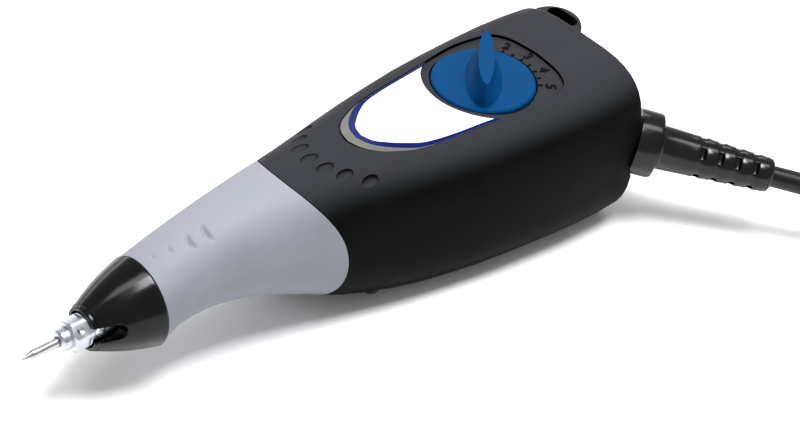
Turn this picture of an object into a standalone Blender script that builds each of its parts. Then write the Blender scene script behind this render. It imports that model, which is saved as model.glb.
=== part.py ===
"""An electric engraving pen lying on its belly, in metres, +Z up.

The pen is modelled along its own nose axis: x runs from the point of the bit to the rear, y to the
side that lies away from the cord, z to the dial. One empty then lays the whole pen on the floor.
"""

import math

import bmesh
import bpy
from mathutils import Matrix, Vector

# Clearances that every piece shares
FIT_GAP = 0.0003
RUNNING_GAP = 0.0005
CUT_OVERRUN = 0.002
JOIN_DEPTH = 0.0008
SMALL_EDGE = 0.0004
WELD_DISTANCE = 0.00001

# How the pen lies: nose down, because the belly is cut at this angle to the nose axis
LYING_PITCH = math.radians(4.2)

# Bit and chuck
BIT_RADIUS = 0.0012
BIT_LENGTH = 0.022
BIT_POINT_LENGTH = 0.0034
BIT_EXPOSED = 0.0105
CHUCK_COLLAR_RADIUS = 0.0028
CHUCK_COLLAR_LENGTH = 0.0026
CHUCK_RADIUS = 0.0042
CHUCK_LENGTH = 0.0205
CHUCK_FLAT_DEPTH = 0.00035
CHUCK_FLAT_LENGTH = 0.0044
CHUCK_CHAMFER = 0.0005
CHUCK_DIMPLE_RADIUS = 0.0010
CHUCK_DIMPLE_DEPTH = 0.0010
SET_SCREW_RADIUS = 0.00145
SET_SCREW_LENGTH = 0.0026
SET_SCREW_SETBACK = 0.0095
SET_SCREW_HEX_RADIUS = 0.0007
ACCESS_TURN = math.radians(14)
DIMPLE_TURN = math.radians(48)

# Nose cone
CONE_FRONT = 0.0176
CONE_LENGTH = 0.0166
CONE_FRONT_RADIUS = 0.0056
CONE_REAR_RADIUS = 0.0118
CONE_BULGE = 0.0006
CONE_LIP_LENGTH = 0.0010
CONE_LIP_DEPTH = 0.00035
CONE_BORE_RADIUS = 0.0048
CONE_SOCKET_LENGTH = 0.0080
CONE_SOCKET_RADIUS = 0.0076
ACCESS_WIDTH = 0.0040
ACCESS_LENGTH = 0.0070

# Barrel, bushing and drive rod
BARREL_RADIUS = 0.0062
BARREL_BORE_RADIUS = 0.0047
BARREL_FLANGE_RADIUS = 0.0128
BARREL_FLANGE_LENGTH = 0.0028
BARREL_TAIL_LENGTH = 0.0030
BUSHING_LENGTH = 0.0120
BUSHING_SETBACK = 0.0030
ROD_RADIUS = 0.0024
ROD_END_RADIUS = 0.0016
ROD_SOCKET_RADIUS = 0.0021
ROD_SOCKET_LENGTH = 0.0065
ROD_NUT_RADIUS = 0.0029
ROD_NUT_LENGTH = 0.0016

# Body outline: lengths along the axis, and the widest and tallest reach from it
BODY_LENGTH = 0.1495
BODY_HALF_WIDTH = 0.0266
BODY_CROWN = 0.0192
BODY_BELLY = 0.0326
STATION_SHARES = (0.0, 0.034, 0.084, 0.177, 0.278, 0.385, 0.518, 0.706, 0.893, 1.0)
WIDTH_SHARES = (0.425, 0.410, 0.421, 0.474, 0.568, 0.677, 0.812, 0.944, 1.0, 0.955)
CROWN_SHARES = (0.604, 0.703, 0.812, 0.938, 1.0, 0.990, 0.958, 0.938, 0.911, 0.890)
BELLY_SHARES = (0.337, 0.270, 0.245, 0.319, 0.509, 0.718, 0.834, 0.902, 0.963, 1.0)
SQUARENESS = (2.0, 2.0, 2.0, 2.1, 2.2, 2.6, 3.2, 3.6, 3.6, 3.6)
REAR_FILLET = 0.0022
RING_POINTS = 40
GRIP_RING_SHARES = (0.0, 0.05, 0.11, 0.19, 0.28, 0.38, 0.49, 0.61, 0.73, 0.86, 1.0)
SHELL_RING_SHARES = (0.0, 0.06, 0.13, 0.21, 0.30, 0.40, 0.51, 0.62, 0.73, 0.84, 0.93, 1.0)
CAVITY_RING_SHARES = (0.0, 0.12, 0.28, 0.44, 0.60, 0.76, 0.90)

# Finger marks along the top of the grip
MARK_PLACE_SHARES = (0.03, 0.11, 0.22, 0.325)
MARK_SIZE_SHARES = (0.55, 0.65, 0.95, 1.0)
MARK_SIDE = 0.0030
MARK_LENGTH = 0.0060
MARK_WIDTH = 0.0022
MARK_DEPTH = 0.0006

# Seam between grip and housing: it sweeps forward over the crown
GRIP_LENGTH = 0.0520
SEAM_SWEEP = 0.0115
SEAM_LOW = 0.0060
SEAM_RISE = 0.0250

# Housing shells
WALL = 0.0026
PARTING_HEIGHT = 0.0072
PARTING_SLOPE = 0.075
BULKHEAD_SETBACK = 0.0085
BULKHEAD_THICKNESS = 0.0028
SCREW_POST_RADIUS = 0.0031
SCREW_RADIUS = 0.0012
SCREW_HEAD_RADIUS = 0.0025
SCREW_HEAD_HEIGHT = 0.0018
SCREW_LENGTH = 0.0130
SCREW_CROSS_SHARE = 0.6
SCREW_SLIT_SHARE = 0.13
SCREW_CROSS_DEPTH_SHARE = 0.5
FRONT_POST_SETBACK = 0.0135
FRONT_POST_SPREAD = 0.0120
REAR_POST_INSET = 0.0085
REAR_POST_SPREAD = 0.0185
DIMPLE_COUNT = 7
DIMPLE_LENGTH = 0.0054
DIMPLE_WIDTH = 0.0031
DIMPLE_DEPTH = 0.0008
DIMPLE_PITCH_ANGLE = math.radians(12)
DIMPLE_SETBACK = 0.0112
DIMPLE_SWEEP = 0.0092

# Dial, its well and the sunk panel round it
DIAL_PLACE = 0.1115
DIAL_RADIUS = 0.0138
DIAL_THICKNESS = 0.0024
DIAL_TOP = 0.0172
DIAL_GAP = 0.0005
DIAL_REST_TURN = math.radians(46)
FIN_LENGTH = 0.0248
FIN_HEIGHT = 0.0072
FIN_TOP_WIDTH = 0.0042
FIN_FOOT_WIDTH = 0.0100
FIN_LEVELS = 6
FIN_POINTS = 12
FIN_END_RAKE_SHARE = 0.04
FIN_FLARE_POWER = 2.4
FIN_POINT_POWER = 1.15
PANEL_DEPTH = 0.0009
PANEL_REACH = 0.0480
PANEL_HALF_WIDTH = 0.0167
PANEL_TAIL = 0.0195
PANEL_LAND_RADIUS = 0.0164
PANEL_PLACE_SHARES = (0, 0.013, 0.043, 0.102, 0.22, 0.369, 0.55, 0.65, 0.772, 0.833, 0.889, 0.927, 0.951, 0.97, 0.99, 1)
PANEL_WIDTH_SHARES = (0, 0.19, 0.36, 0.52, 0.71, 0.80, 0.874, 0.94, 1, 0.97, 0.922, 0.88, 0.814, 0.70, 0.44, 0)
LABEL_THICKNESS = 0.00035
LABEL_LIFT = 0.0002
LABEL_MARGIN = 0.0004
LABEL_LENGTH = 0.0372
LABEL_ARC_RADIUS = 0.0165
LABEL_ARC_HALF_WIDTH = 0.0134
DIAL_PAD_RADIUS = 0.0172
DIAL_PAD_DEPTH = 0.0022
SPINDLE_RADIUS = 0.0034
CAM_RADIUS = 0.0072
CAM_LIFT = 0.0010
CAM_THICKNESS = 0.0030
CAM_SWEEP = 1.5
CAM_SCREW_RADIUS = 0.0010
CAM_SCREW_HEAD_RADIUS = 0.0022
CAM_SCREW_HEAD_HEIGHT = 0.0010
CAM_SCREW_LENGTH = 0.0056

# Hang loop at the rear
LOOP_RADIUS = 0.0077
LOOP_THICKNESS = 0.0056
LOOP_TOP = 0.0146
LOOP_OFFSET = 0.0104
LOOP_HOLE_LENGTH = 0.0098
LOOP_HOLE_WIDTH = 0.0048
LOOP_RIM = 0.0021

# Hammer mechanism
ARMATURE_PLACE = 0.0736
ARMATURE_THICKNESS = 0.0050
ARMATURE_HALF_WIDTH = 0.0078
ARMATURE_TOP = 0.0110
PIVOT_DEPTH = 0.0207
PIVOT_CLEARANCE = 0.0021
LEAF_THICKNESS = 0.0005
LEAF_HALF_WIDTH = 0.0045
LEAF_TOP = -0.0080
LEAF_FOOT = 0.0013
BRACKET_LENGTH = 0.0076
BRACKET_HEIGHT = 0.0030
BRACKET_HALF_WIDTH = 0.0080
BRACKET_SCREW_RADIUS = 0.0008
BRACKET_SCREW_HEAD_RADIUS = 0.0014
BRACKET_SCREW_HEAD_HEIGHT = 0.0010
BRACKET_SCREW_LENGTH = 0.0055
BRACKET_SCREW_SPREAD = 0.0062
BRACKET_SCREW_SETBACK = 0.0018
MAGNET_GAP = 0.0016
CORE_LENGTH = 0.0325
CORE_HALF_WIDTH = 0.0080
CORE_TOP = 0.0065
CORE_LEG = 0.0045
CORE_WINDOW = 0.0050
CORE_MIDDLE = 0.0080
CORE_YOKE = 0.0065
BOBBIN_WALL = 0.0009
BOBBIN_FLANGE = 0.0012
BOBBIN_SETBACK = 0.0012
BOBBIN_CORNER = 0.0006
WINDING_DEPTH = 0.0030
RIVET_RADIUS = 0.0012
RIVET_HEAD_RADIUS = 0.0022
RIVET_HEAD = 0.0009
STOP_WIDTH = 0.0060
STOP_HEIGHT = 0.0026
STOP_CLEARANCE = 0.0017
BUMPER_RADIUS = 0.0018
BUMPER_LENGTH = 0.0030
STUD_RADIUS = 0.0008
STUD_LENGTH = 0.0018
RAIL_THICKNESS = 0.0014
RAIL_LENGTH = 0.0120
RAIL_SETBACK = 0.0030
SEAT_RIB = 0.0024
SEAT_RIB_INSET = 0.0035

# Cord entry and wiring
ENTRY_TURN = math.radians(48)
ENTRY_DROOP = math.radians(9)
ENTRY_REACH = 0.0041
ENTRY_OFFSET = 0.0209
ENTRY_DEPTH = 0.0093
SPIGOT_RADIUS = 0.0070
SPIGOT_ROOT = 0.0180
SPIGOT_STUB = 0.0025
RELIEF_COLLAR_RADIUS = 0.0091
RELIEF_COLLAR_LENGTH = 0.0056
RELIEF_COLLAR_CHAMFER = 0.0007
RELIEF_SLEEVE_RADIUS = 0.0062
RELIEF_END_RADIUS = 0.0044
RELIEF_SLEEVE_LENGTH = 0.0320
RELIEF_NECK_RADIUS = 0.0042
RELIEF_NECK_LENGTH = 0.0105
RELIEF_SLOTS = 4
RELIEF_SLOT_WIDTH = 0.0013
RELIEF_SLOT_DEPTH = 0.0021
RELIEF_SLOT_PITCH = 0.0050
CORD_DIAMETER = 0.0060
TAIL_RUN = 0.0150
SPLICE_RADIUS = 0.0025
SPLICE_LENGTH = 0.0110
SPLICE_SPREAD = 0.0088
SPLICE_SETBACK = 0.0065
SPLICE_DEPTH = 0.0130
LEAD_RADIUS = 0.0008
LEAD_SPREAD = 0.0013

# Put-away cord and its plug
COIL_LAYERS = 3
COIL_LAYER_TURNS = 2.75
COIL_TURN_POINTS = 24
COIL_MIDDLE_DIAMETER = 0.0660
COIL_LOOP_GAP = 0.0005
COIL_CLIMB_TURNS = 0.5
COIL_END_CLIMB_TURNS = 0.45
CORD_STRAIGHT_RUN = 0.0180
CORD_FREE_REACH = 0.1167
CORD_SIDE_REACH = 0.0297
CORD_BEND_REACH = 0.0300
CORD_ROUTE_TURN = math.radians(0)
CORD_ROUTE_POINTS = 16
COIL_TAIL_LENGTH = 0.0060
COIL_TIE_WIDTH = 0.0050
COIL_TIE_THICKNESS = 0.0006
COIL_TIE_CORNER = 0.0030
PLUG_LENGTH = 0.0300
PLUG_WIDTH = 0.0190
PLUG_HEIGHT = 0.0130
PLUG_NECK_LENGTH = 0.0090
PLUG_NECK_SHARE = 1.25
PLUG_SQUARENESS = 4.0
PLUG_RING_SHARES = (0.12, 0.30, 0.60, 0.80)
PLUG_SIDE_SHARES = (0.80, 0.92, 0.94, 1.0)
PLUG_RISE_SHARES = (0.86, 0.94, 0.96, 1.0)
BLADE_LENGTH = 0.0170
BLADE_WIDTH = 0.0063
BLADE_THICKNESS = 0.0015
BLADE_SPREAD = 0.0127

BODY_FRONT = CONE_FRONT + CONE_LENGTH + FIT_GAP
BODY_REAR = BODY_FRONT + BODY_LENGTH
SEAM_PLACE = BODY_FRONT + GRIP_LENGTH
DIAL_X = BODY_FRONT + DIAL_PLACE
ARMATURE_X = BODY_FRONT + ARMATURE_PLACE
ARMATURE_BACK = ARMATURE_X + ARMATURE_THICKNESS
CORE_FRONT = ARMATURE_BACK + MAGNET_GAP
CORE_BACK = CORE_FRONT + CORE_LENGTH
CORE_BOTTOM = CORE_TOP - 2 * CORE_LEG - 2 * CORE_WINDOW - CORE_MIDDLE
CHUCK_BACK = BIT_EXPOSED + CHUCK_LENGTH


# Scene, collections and materials


def clear_scene():
    for item in list(bpy.data.objects):
        bpy.data.objects.remove(item, do_unlink=True)


def new_collection(name):
    collection = bpy.data.collections.new(name)
    bpy.context.scene.collection.children.link(collection)
    return collection


clear_scene()
PEN = new_collection("engraving_pen")
HELPERS = new_collection("cutters")


def material(name, colour, roughness, metallic=0.0):
    made = bpy.data.materials.new(name)
    made.use_nodes = True
    shader = made.node_tree.nodes["Principled BSDF"]
    shader.inputs["Base Color"].default_value = (*colour, 1.0)
    shader.inputs["Roughness"].default_value = roughness
    shader.inputs["Metallic"].default_value = metallic
    return made


BLACK_NYLON = material("black_nylon", (0.018, 0.018, 0.019), 0.55)
GLOSS_BLACK = material("gloss_black", (0.010, 0.010, 0.011), 0.22)
GREY_RUBBER = material("grey_rubber", (0.42, 0.44, 0.50), 0.6)
BLUE_PLASTIC = material("blue_plastic", (0.003, 0.090, 0.330), 0.35)
WHITE_FILM = material("white_film", (0.90, 0.90, 0.90), 0.3)
ZINC = material("zinc", (0.72, 0.73, 0.75), 0.35, 1.0)
CARBIDE = material("carbide_steel", (0.62, 0.62, 0.62), 0.18, 1.0)
STEEL = material("steel", (0.50, 0.50, 0.52), 0.3, 1.0)
SPRING_STEEL = material("spring_steel", (0.28, 0.29, 0.32), 0.3, 1.0)
LAMINATION = material("lamination_steel", (0.18, 0.18, 0.19), 0.5, 1.0)
BRASS = material("brass", (0.70, 0.50, 0.18), 0.3, 1.0)
BRONZE = material("bronze", (0.50, 0.30, 0.14), 0.45, 1.0)
COPPER = material("enamelled_copper", (0.55, 0.20, 0.06), 0.35, 1.0)
BOBBIN_NYLON = material("bobbin_nylon", (0.75, 0.72, 0.62), 0.5)
BLACK_RUBBER = material("black_rubber", (0.014, 0.014, 0.015), 0.5)
CORD_VINYL = material("cord_vinyl", (0.012, 0.012, 0.013), 0.4)
LEAD_VINYL = material("lead_vinyl", (0.60, 0.60, 0.60), 0.5)
SPLICE_NYLON = material("splice_nylon", (0.65, 0.65, 0.62), 0.5)


# Making objects


def empty(name, place, parent=None):
    made = bpy.data.objects.new(name, None)
    made.empty_display_size = FIT_GAP
    PEN.objects.link(made)
    made.location = place
    made.parent = parent
    return made


ROOT = empty("pen_on_its_belly", (0, 0, 0))
ROOT.rotation_euler = (0, -LYING_PITCH, 0)


def finish(obj, finish_material, parent):
    obj.data.materials.append(finish_material)
    obj.parent = parent
    obj.data.shade_smooth()
    obj.data.set_sharp_from_angle(angle=math.radians(32))
    return obj


def part_of(mesh, name, finish_material, place=(0, 0, 0), parent=ROOT):
    """A named piece whose mesh is given round its own origin."""
    obj = bpy.data.objects.new(name, mesh)
    PEN.objects.link(obj)
    obj.location = place
    return finish(obj, finish_material, parent)


def helper_of(mesh, name, place=(0, 0, 0), parent=ROOT):
    """A cutter or a filler: a shape that only a Boolean reads."""
    obj = bpy.data.objects.new(name, mesh)
    HELPERS.objects.link(obj)
    obj.location = place
    obj.parent = parent
    obj.hide_render = True
    obj.display_type = "WIRE"
    return obj


def boolean(target, other, operation):
    modifier = target.modifiers.new(other.name, "BOOLEAN")
    modifier.operation = operation
    modifier.object = other
    modifier.solver = "EXACT"


def cut(target, *others):
    for other in others:
        boolean(target, other, "DIFFERENCE")


def join(target, *others):
    for other in others:
        boolean(target, other, "UNION")


def keep_common(target, other):
    boolean(target, other, "INTERSECT")


def bevel(obj, width, segments=2):
    modifier = obj.modifiers.new("rounded_edges", "BEVEL")
    modifier.width = width
    modifier.segments = segments
    modifier.limit_method = "ANGLE"
    modifier.angle_limit = math.radians(40)


def mesh_from(build):
    """A mesh made by the given function on an empty bmesh, with its faces turned outwards."""
    made = bmesh.new()
    build(made)
    bmesh.ops.recalc_face_normals(made, faces=made.faces)
    mesh = bpy.data.meshes.new("mesh")
    made.to_mesh(mesh)
    made.free()
    return mesh


def box_mesh(low, high):
    low, high = Vector(low), Vector(high)
    size = high - low
    placed = Matrix.Translation((low + high) / 2) @ Matrix.Diagonal((*size, 1.0))
    return mesh_from(lambda made: bmesh.ops.create_cube(made, size=1.0, matrix=placed))


def circle(x, radius, sides, start=0.0):
    """Points of a circle across the nose axis."""
    turns = [start + 2 * math.pi * index / sides for index in range(sides)]
    return [Vector((x, radius * math.cos(turn), radius * math.sin(turn))) for turn in turns]


def prism_mesh(outline, low, high):
    """An outline in x and y, run from one height to another."""
    rings = [[(x, y, height) for x, y in outline] for height in (low, high)]
    return mesh_from(lambda made: skin_rings(made, rings))


def side_prism_mesh(outline, half_width):
    """An outline in x and z, run across y."""
    rings = [[(x, y, z) for x, z in outline] for y in (-half_width, half_width)]
    return mesh_from(lambda made: skin_rings(made, rings))


def stepped_mesh(place, steps, sides=16):
    """An upright body of (radius, height) steps, from the bottom up."""
    x, y = place
    turns = [2 * math.pi * index / sides for index in range(sides)]
    rings = [[(x + radius * math.cos(t), y + radius * math.sin(t), height) for t in turns] for radius, height in steps]
    return mesh_from(lambda made: skin_rings(made, rings))


def towards(direction):
    """The turn that lays local z along the direction."""
    return Vector(direction).to_track_quat("Z", "Y").to_matrix().to_4x4()


def rod_mesh(start, end, radius, end_radius=None, sides=20):
    """A cylinder or cone from one point to another."""
    start, end = Vector(start), Vector(end)
    along = end - start
    placed = Matrix.Translation((start + end) / 2) @ towards(along)
    last = radius if end_radius is None else end_radius

    def build(made):
        bmesh.ops.create_cone(
            made, cap_ends=True, segments=sides, radius1=radius, radius2=last, depth=along.length, matrix=placed
        )

    return mesh_from(build)


def ball_mesh(place, radii, turn=0.0):
    """An ellipsoid with its first radius along x, turned about z."""
    placed = Matrix.Translation(place) @ Matrix.Rotation(turn, 4, "Z") @ Matrix.Diagonal((*radii, 1.0))
    return mesh_from(
        lambda made: bmesh.ops.create_uvsphere(made, u_segments=14, v_segments=8, radius=1.0, matrix=placed)
    )


def merged_mesh(meshes):
    """Several loose meshes as one, for a cutter that makes many cuts."""

    def build(made):
        for mesh in meshes:
            made.from_mesh(mesh)

    return mesh_from(build)


def skin_rings(made, rings, closed=False):
    """Skins equal rings of points in order. A closed skin joins the last ring to the first."""
    rows = [[made.verts.new(point) for point in ring] for ring in rings]
    pairs = list(zip(rows, rows[1:]))
    if closed:
        pairs.append((rows[-1], rows[0]))
    for first, second in pairs:
        for index in range(len(first)):
            after = (index + 1) % len(first)
            made.faces.new((first[index], first[after], second[after], second[index]))
    if not closed:
        made.faces.new(rows[0])
        made.faces.new(rows[-1])


def turned(name, profile, finish_material, place=(0, 0, 0), axis=(1, 0, 0), sides=28, parent=ROOT):
    """A profile of (radius, distance along the axis), rear to front on its outer side, spun by a Screw."""
    made = bmesh.new()
    points = [made.verts.new((radius, 0, along)) for radius, along in profile]
    on_axis = profile[0][0] == 0
    for first, second in zip(points, points[1:]):
        made.edges.new((first, second))
    if not on_axis:
        made.edges.new((points[-1], points[0]))
    mesh = bpy.data.meshes.new(name)
    made.to_mesh(mesh)
    made.free()
    obj = bpy.data.objects.new(name, mesh)
    PEN.objects.link(obj)
    obj.location = place
    obj.rotation_mode = "QUATERNION"
    obj.rotation_quaternion = towards(axis).to_quaternion()
    screw = obj.modifiers.new("turned", "SCREW")
    screw.steps = sides
    screw.render_steps = sides
    screw.use_merge_vertices = True
    screw.merge_threshold = WELD_DISTANCE
    screw.use_smooth_shade = True
    obj.parent = parent
    obj.data.materials.append(finish_material)
    return obj


# Outline of the body


def eased(x, places, values):
    """A smooth curve through the values, without overshoot at the ends."""
    slopes = [(values[i + 1] - values[i]) / (places[i + 1] - places[i]) for i in range(len(places) - 1)]
    tangents = [slopes[0]]
    for before, after in zip(slopes, slopes[1:]):
        tangents.append(0.0 if before * after <= 0 else 2 * before * after / (before + after))
    tangents.append(slopes[-1])
    index = 0
    while index < len(places) - 2 and x > places[index + 1]:
        index += 1
    span = places[index + 1] - places[index]
    t = min(max((x - places[index]) / span, 0.0), 1.0)
    return (
        (2 * t**3 - 3 * t**2 + 1) * values[index]
        + (t**3 - 2 * t**2 + t) * span * tangents[index]
        + (3 * t**2 - 2 * t**3) * values[index + 1]
        + (t**3 - t**2) * span * tangents[index + 1]
    )


def section(x):
    """Half width, crown, belly and squareness of the body at x."""
    share = (x - BODY_FRONT) / BODY_LENGTH
    return (
        BODY_HALF_WIDTH * eased(share, STATION_SHARES, WIDTH_SHARES),
        BODY_CROWN * eased(share, STATION_SHARES, CROWN_SHARES),
        -BODY_BELLY * eased(share, STATION_SHARES, BELLY_SHARES),
        eased(share, STATION_SHARES, SQUARENESS),
    )


def signed_power(value, power):
    return math.copysign(abs(value) ** power, value)


def body_point(x, turn, inset=0.0):
    """A point of the body's surface, or of one inset from it. Turn 0 is the side away from the cord."""
    width, crown, belly, squareness = section(x)
    middle = (crown + belly) / 2
    height = (crown - belly) / 2
    power = 2 / squareness
    return Vector(
        (
            x,
            (width - inset) * signed_power(math.cos(turn), power),
            middle + (height - inset) * signed_power(math.sin(turn), power),
        )
    )


def seam_x(z):
    return SEAM_PLACE - SEAM_SWEEP * ((z + SEAM_LOW) / SEAM_RISE) ** 2


def ring_turns():
    return [2 * math.pi * index / RING_POINTS for index in range(RING_POINTS)]


def body_ring(x, inset=0.0):
    return [body_point(x, turn, inset) for turn in ring_turns()]


def swept_ring(share, inset=0.0, shift=0.0):
    """A ring part of the way from the nose end of the body (0) to the seam (1)."""
    ring = []
    for turn in ring_turns():
        x = BODY_FRONT + share * (SEAM_PLACE - BODY_FRONT)
        for _ in range(4):
            x = BODY_FRONT + share * (seam_x(body_point(x, turn, inset).z) + shift - BODY_FRONT)
        ring.append(body_point(x, turn, inset))
    return ring


def blended_ring(share, inset=0.0):
    """A ring part of the way from the seam (0) to the rear fillet (1)."""
    rear = BODY_REAR - REAR_FILLET
    ring = []
    for turn in ring_turns():
        x = SEAM_PLACE
        for _ in range(4):
            start = seam_x(body_point(x, turn, inset).z) + FIT_GAP
            x = start + share * (rear - start)
        ring.append(body_point(x, turn, inset))
    return ring


def parting_z(x):
    """Height of the parting line between the top shell and the bottom cover."""
    rear_height = -BODY_BELLY + PARTING_HEIGHT
    return rear_height + PARTING_SLOPE * (BODY_REAR - x)


def radial(turn):
    """The unit direction across the nose axis, turned up from the cord's side."""
    return Vector((0, -math.cos(turn), math.sin(turn)))


# Nose: bit, chuck, cone, barrel, bushing and rod


def make_bit(parent):
    profile = [
        (0, BIT_LENGTH),
        (BIT_RADIUS, BIT_LENGTH),
        (BIT_RADIUS, BIT_POINT_LENGTH),
        (0, 0),
    ]
    return turned("bit", profile, CARBIDE, sides=20, parent=parent)


def make_chuck(parent):
    front = BIT_EXPOSED
    shoulder = front + CHUCK_COLLAR_LENGTH
    bore = BIT_RADIUS + FIT_GAP / 2
    bit_end = BIT_LENGTH + FIT_GAP
    socket_end = CHUCK_BACK - ROD_SOCKET_LENGTH
    profile = [
        (0, socket_end),
        (ROD_SOCKET_RADIUS, socket_end),
        (ROD_SOCKET_RADIUS, CHUCK_BACK),
        (CHUCK_RADIUS, CHUCK_BACK),
        (CHUCK_RADIUS, shoulder + CHUCK_CHAMFER),
        (CHUCK_RADIUS - CHUCK_CHAMFER, shoulder),
        (CHUCK_COLLAR_RADIUS, shoulder),
        (CHUCK_COLLAR_RADIUS, front + CHUCK_CHAMFER),
        (CHUCK_COLLAR_RADIUS - CHUCK_CHAMFER, front),
        (bore, front),
        (bore, bit_end),
        (0, bit_end),
    ]
    chuck = turned("chuck", profile, ZINC, sides=30, parent=parent)
    cut(chuck, flats_cutter(parent, shoulder), dimple_cutter(parent, shoulder), screw_hole(parent))
    return chuck


def flats_cutter(parent, shoulder):
    """Wrench flats round the front of the chuck: everything outside a hexagon."""
    inside = (CHUCK_RADIUS - CHUCK_FLAT_DEPTH) / math.cos(math.pi / 6)
    front = shoulder - CUT_OVERRUN
    back = shoulder + CHUCK_FLAT_LENGTH
    sizes = ((inside, front), (2 * inside, front), (2 * inside, back), (inside, back))
    rings = [circle(x, radius, 6, DIMPLE_TURN + math.pi / 6) for radius, x in sizes]
    mesh = mesh_from(lambda made: skin_rings(made, rings, closed=True))
    return helper_of(mesh, "chuck_flats_cutter", parent=parent)


def dimple_cutter(parent, shoulder):
    direction = radial(DIMPLE_TURN)
    place = Vector((shoulder + CHUCK_FLAT_LENGTH / 2, 0, 0))
    mesh = rod_mesh(
        place + direction * (CHUCK_RADIUS - CHUCK_DIMPLE_DEPTH),
        place + direction * (CHUCK_RADIUS + CUT_OVERRUN),
        CHUCK_DIMPLE_RADIUS,
        sides=14,
    )
    return helper_of(mesh, "chuck_dimple_cutter", parent=parent)


def set_screw_place():
    return Vector((BIT_EXPOSED + SET_SCREW_SETBACK, 0, 0))


def screw_hole(parent):
    direction = radial(ACCESS_TURN)
    place = set_screw_place()
    mesh = rod_mesh(place, place + direction * (CHUCK_RADIUS + CUT_OVERRUN), SET_SCREW_RADIUS + FIT_GAP / 2, sides=16)
    return helper_of(mesh, "set_screw_hole", parent=parent)


def make_set_screw(parent):
    """A grub screw with a hexagon socket, bearing on the bit."""
    tip = BIT_RADIUS + FIT_GAP
    head = tip + SET_SCREW_LENGTH
    profile = [
        (0, head),
        (SET_SCREW_RADIUS, head),
        (SET_SCREW_RADIUS, tip + SET_SCREW_RADIUS / 3),
        (SET_SCREW_RADIUS / 2, tip),
        (0, tip),
    ]
    screw = turned("chuck_set_screw", profile, STEEL, axis=radial(ACCESS_TURN), sides=16, parent=parent)
    socket = rod_mesh((0, 0, head - SET_SCREW_LENGTH / 2), (0, 0, head + CUT_OVERRUN), SET_SCREW_HEX_RADIUS, sides=6)
    socket.transform(towards(radial(ACCESS_TURN)))
    cut(screw, helper_of(socket, "hex_socket_cutter", parent=parent))
    return screw


def cone_outline(share):
    """Radius of the nose cone at a share of its length, a straight taper with a slight bulge."""
    straight = CONE_FRONT_RADIUS + (CONE_REAR_RADIUS - CONE_FRONT_RADIUS) * share
    return straight + CONE_BULGE * math.sin(math.pi * share)


def make_nose_cone():
    back = CONE_FRONT + CONE_LENGTH
    lip = CONE_LIP_LENGTH / CONE_LENGTH
    profile = []
    steps = 6
    for index in range(steps + 1):
        share = 1 - (1 - lip) * index / steps
        profile.append((cone_outline(share), CONE_FRONT + CONE_LENGTH * share))
    profile += [
        (cone_outline(lip) - CONE_LIP_DEPTH, CONE_FRONT + CONE_LIP_LENGTH),
        (cone_outline(lip) - CONE_LIP_DEPTH, CONE_FRONT),
        (CONE_BORE_RADIUS, CONE_FRONT),
        (CONE_BORE_RADIUS, back - CONE_SOCKET_LENGTH),
        (CONE_SOCKET_RADIUS, back - CONE_SOCKET_LENGTH),
        (CONE_SOCKET_RADIUS, back),
    ]
    cone = turned("nose_cone", profile, GLOSS_BLACK, sides=36)
    cut(cone, access_cutter())
    return cone


def access_cutter():
    """The oblong way to the set screw, open at the front of the cone."""
    middle = CONE_FRONT + ACCESS_LENGTH - ACCESS_WIDTH / 2
    half = ACCESS_WIDTH / 2
    outline = [(CONE_FRONT - CUT_OVERRUN, half), (CONE_FRONT - CUT_OVERRUN, -half)]
    for index in range(9):
        turn = -math.pi / 2 + math.pi * index / 8
        outline.append((middle + half * math.cos(turn), half * math.sin(turn)))
    mesh = prism_mesh(outline, BIT_RADIUS, 2 * CONE_REAR_RADIUS)
    mesh.transform(Matrix.Rotation(math.pi / 2 - ACCESS_TURN, 4, "X"))
    return helper_of(mesh, "access_cutter")


def barrel_back():
    return bulkhead_x() + BULKHEAD_THICKNESS + BARREL_TAIL_LENGTH


def make_barrel():
    """The nose tube: threaded nose for the cone, seat for the bushing, flange held at the bulkhead."""
    back = barrel_back()
    flange_back = bulkhead_x() - FIT_GAP
    flange_front = flange_back - BARREL_FLANGE_LENGTH
    front = CONE_FRONT + CONE_LENGTH - CONE_SOCKET_LENGTH + FIT_GAP
    neck = CONE_SOCKET_RADIUS - FIT_GAP
    nose_end = CONE_FRONT + CONE_LENGTH
    profile = [
        (BARREL_RADIUS, back),
        (BARREL_RADIUS, flange_back),
        (BARREL_FLANGE_RADIUS, flange_back),
        (BARREL_FLANGE_RADIUS, flange_front),
        (BARREL_RADIUS, flange_front),
        (BARREL_RADIUS, nose_end),
        (neck, nose_end),
        (neck, front),
        (BARREL_BORE_RADIUS, front),
        (BARREL_BORE_RADIUS, back),
    ]
    return turned("barrel", profile, BLACK_NYLON, sides=28)


def make_bushing():
    front = CHUCK_BACK + BUSHING_SETBACK
    back = front + BUSHING_LENGTH
    bore = ROD_RADIUS + FIT_GAP
    profile = [
        (BARREL_BORE_RADIUS - FIT_GAP / 2, back),
        (BARREL_BORE_RADIUS - FIT_GAP / 2, front),
        (bore, front),
        (bore, back),
    ]
    return turned("rod_bushing", profile, BRONZE, sides=24)


def rod_back():
    return ARMATURE_BACK


def make_drive_rod(parent):
    """Spigot in the chuck, bearing length, and a thinner threaded end through the armature."""
    socket_end = CHUCK_BACK - ROD_SOCKET_LENGTH + FIT_GAP
    shoulder = ARMATURE_X - ROD_NUT_LENGTH - 3 * FIT_GAP
    profile = [
        (0, rod_back()),
        (ROD_END_RADIUS, rod_back()),
        (ROD_END_RADIUS, shoulder),
        (ROD_RADIUS, shoulder),
        (ROD_RADIUS, CHUCK_BACK + FIT_GAP),
        (ROD_SOCKET_RADIUS - FIT_GAP / 2, CHUCK_BACK + FIT_GAP),
        (ROD_SOCKET_RADIUS - FIT_GAP / 2, socket_end),
        (0, socket_end),
    ]
    return turned("drive_rod", profile, STEEL, sides=20, parent=parent)


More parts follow.
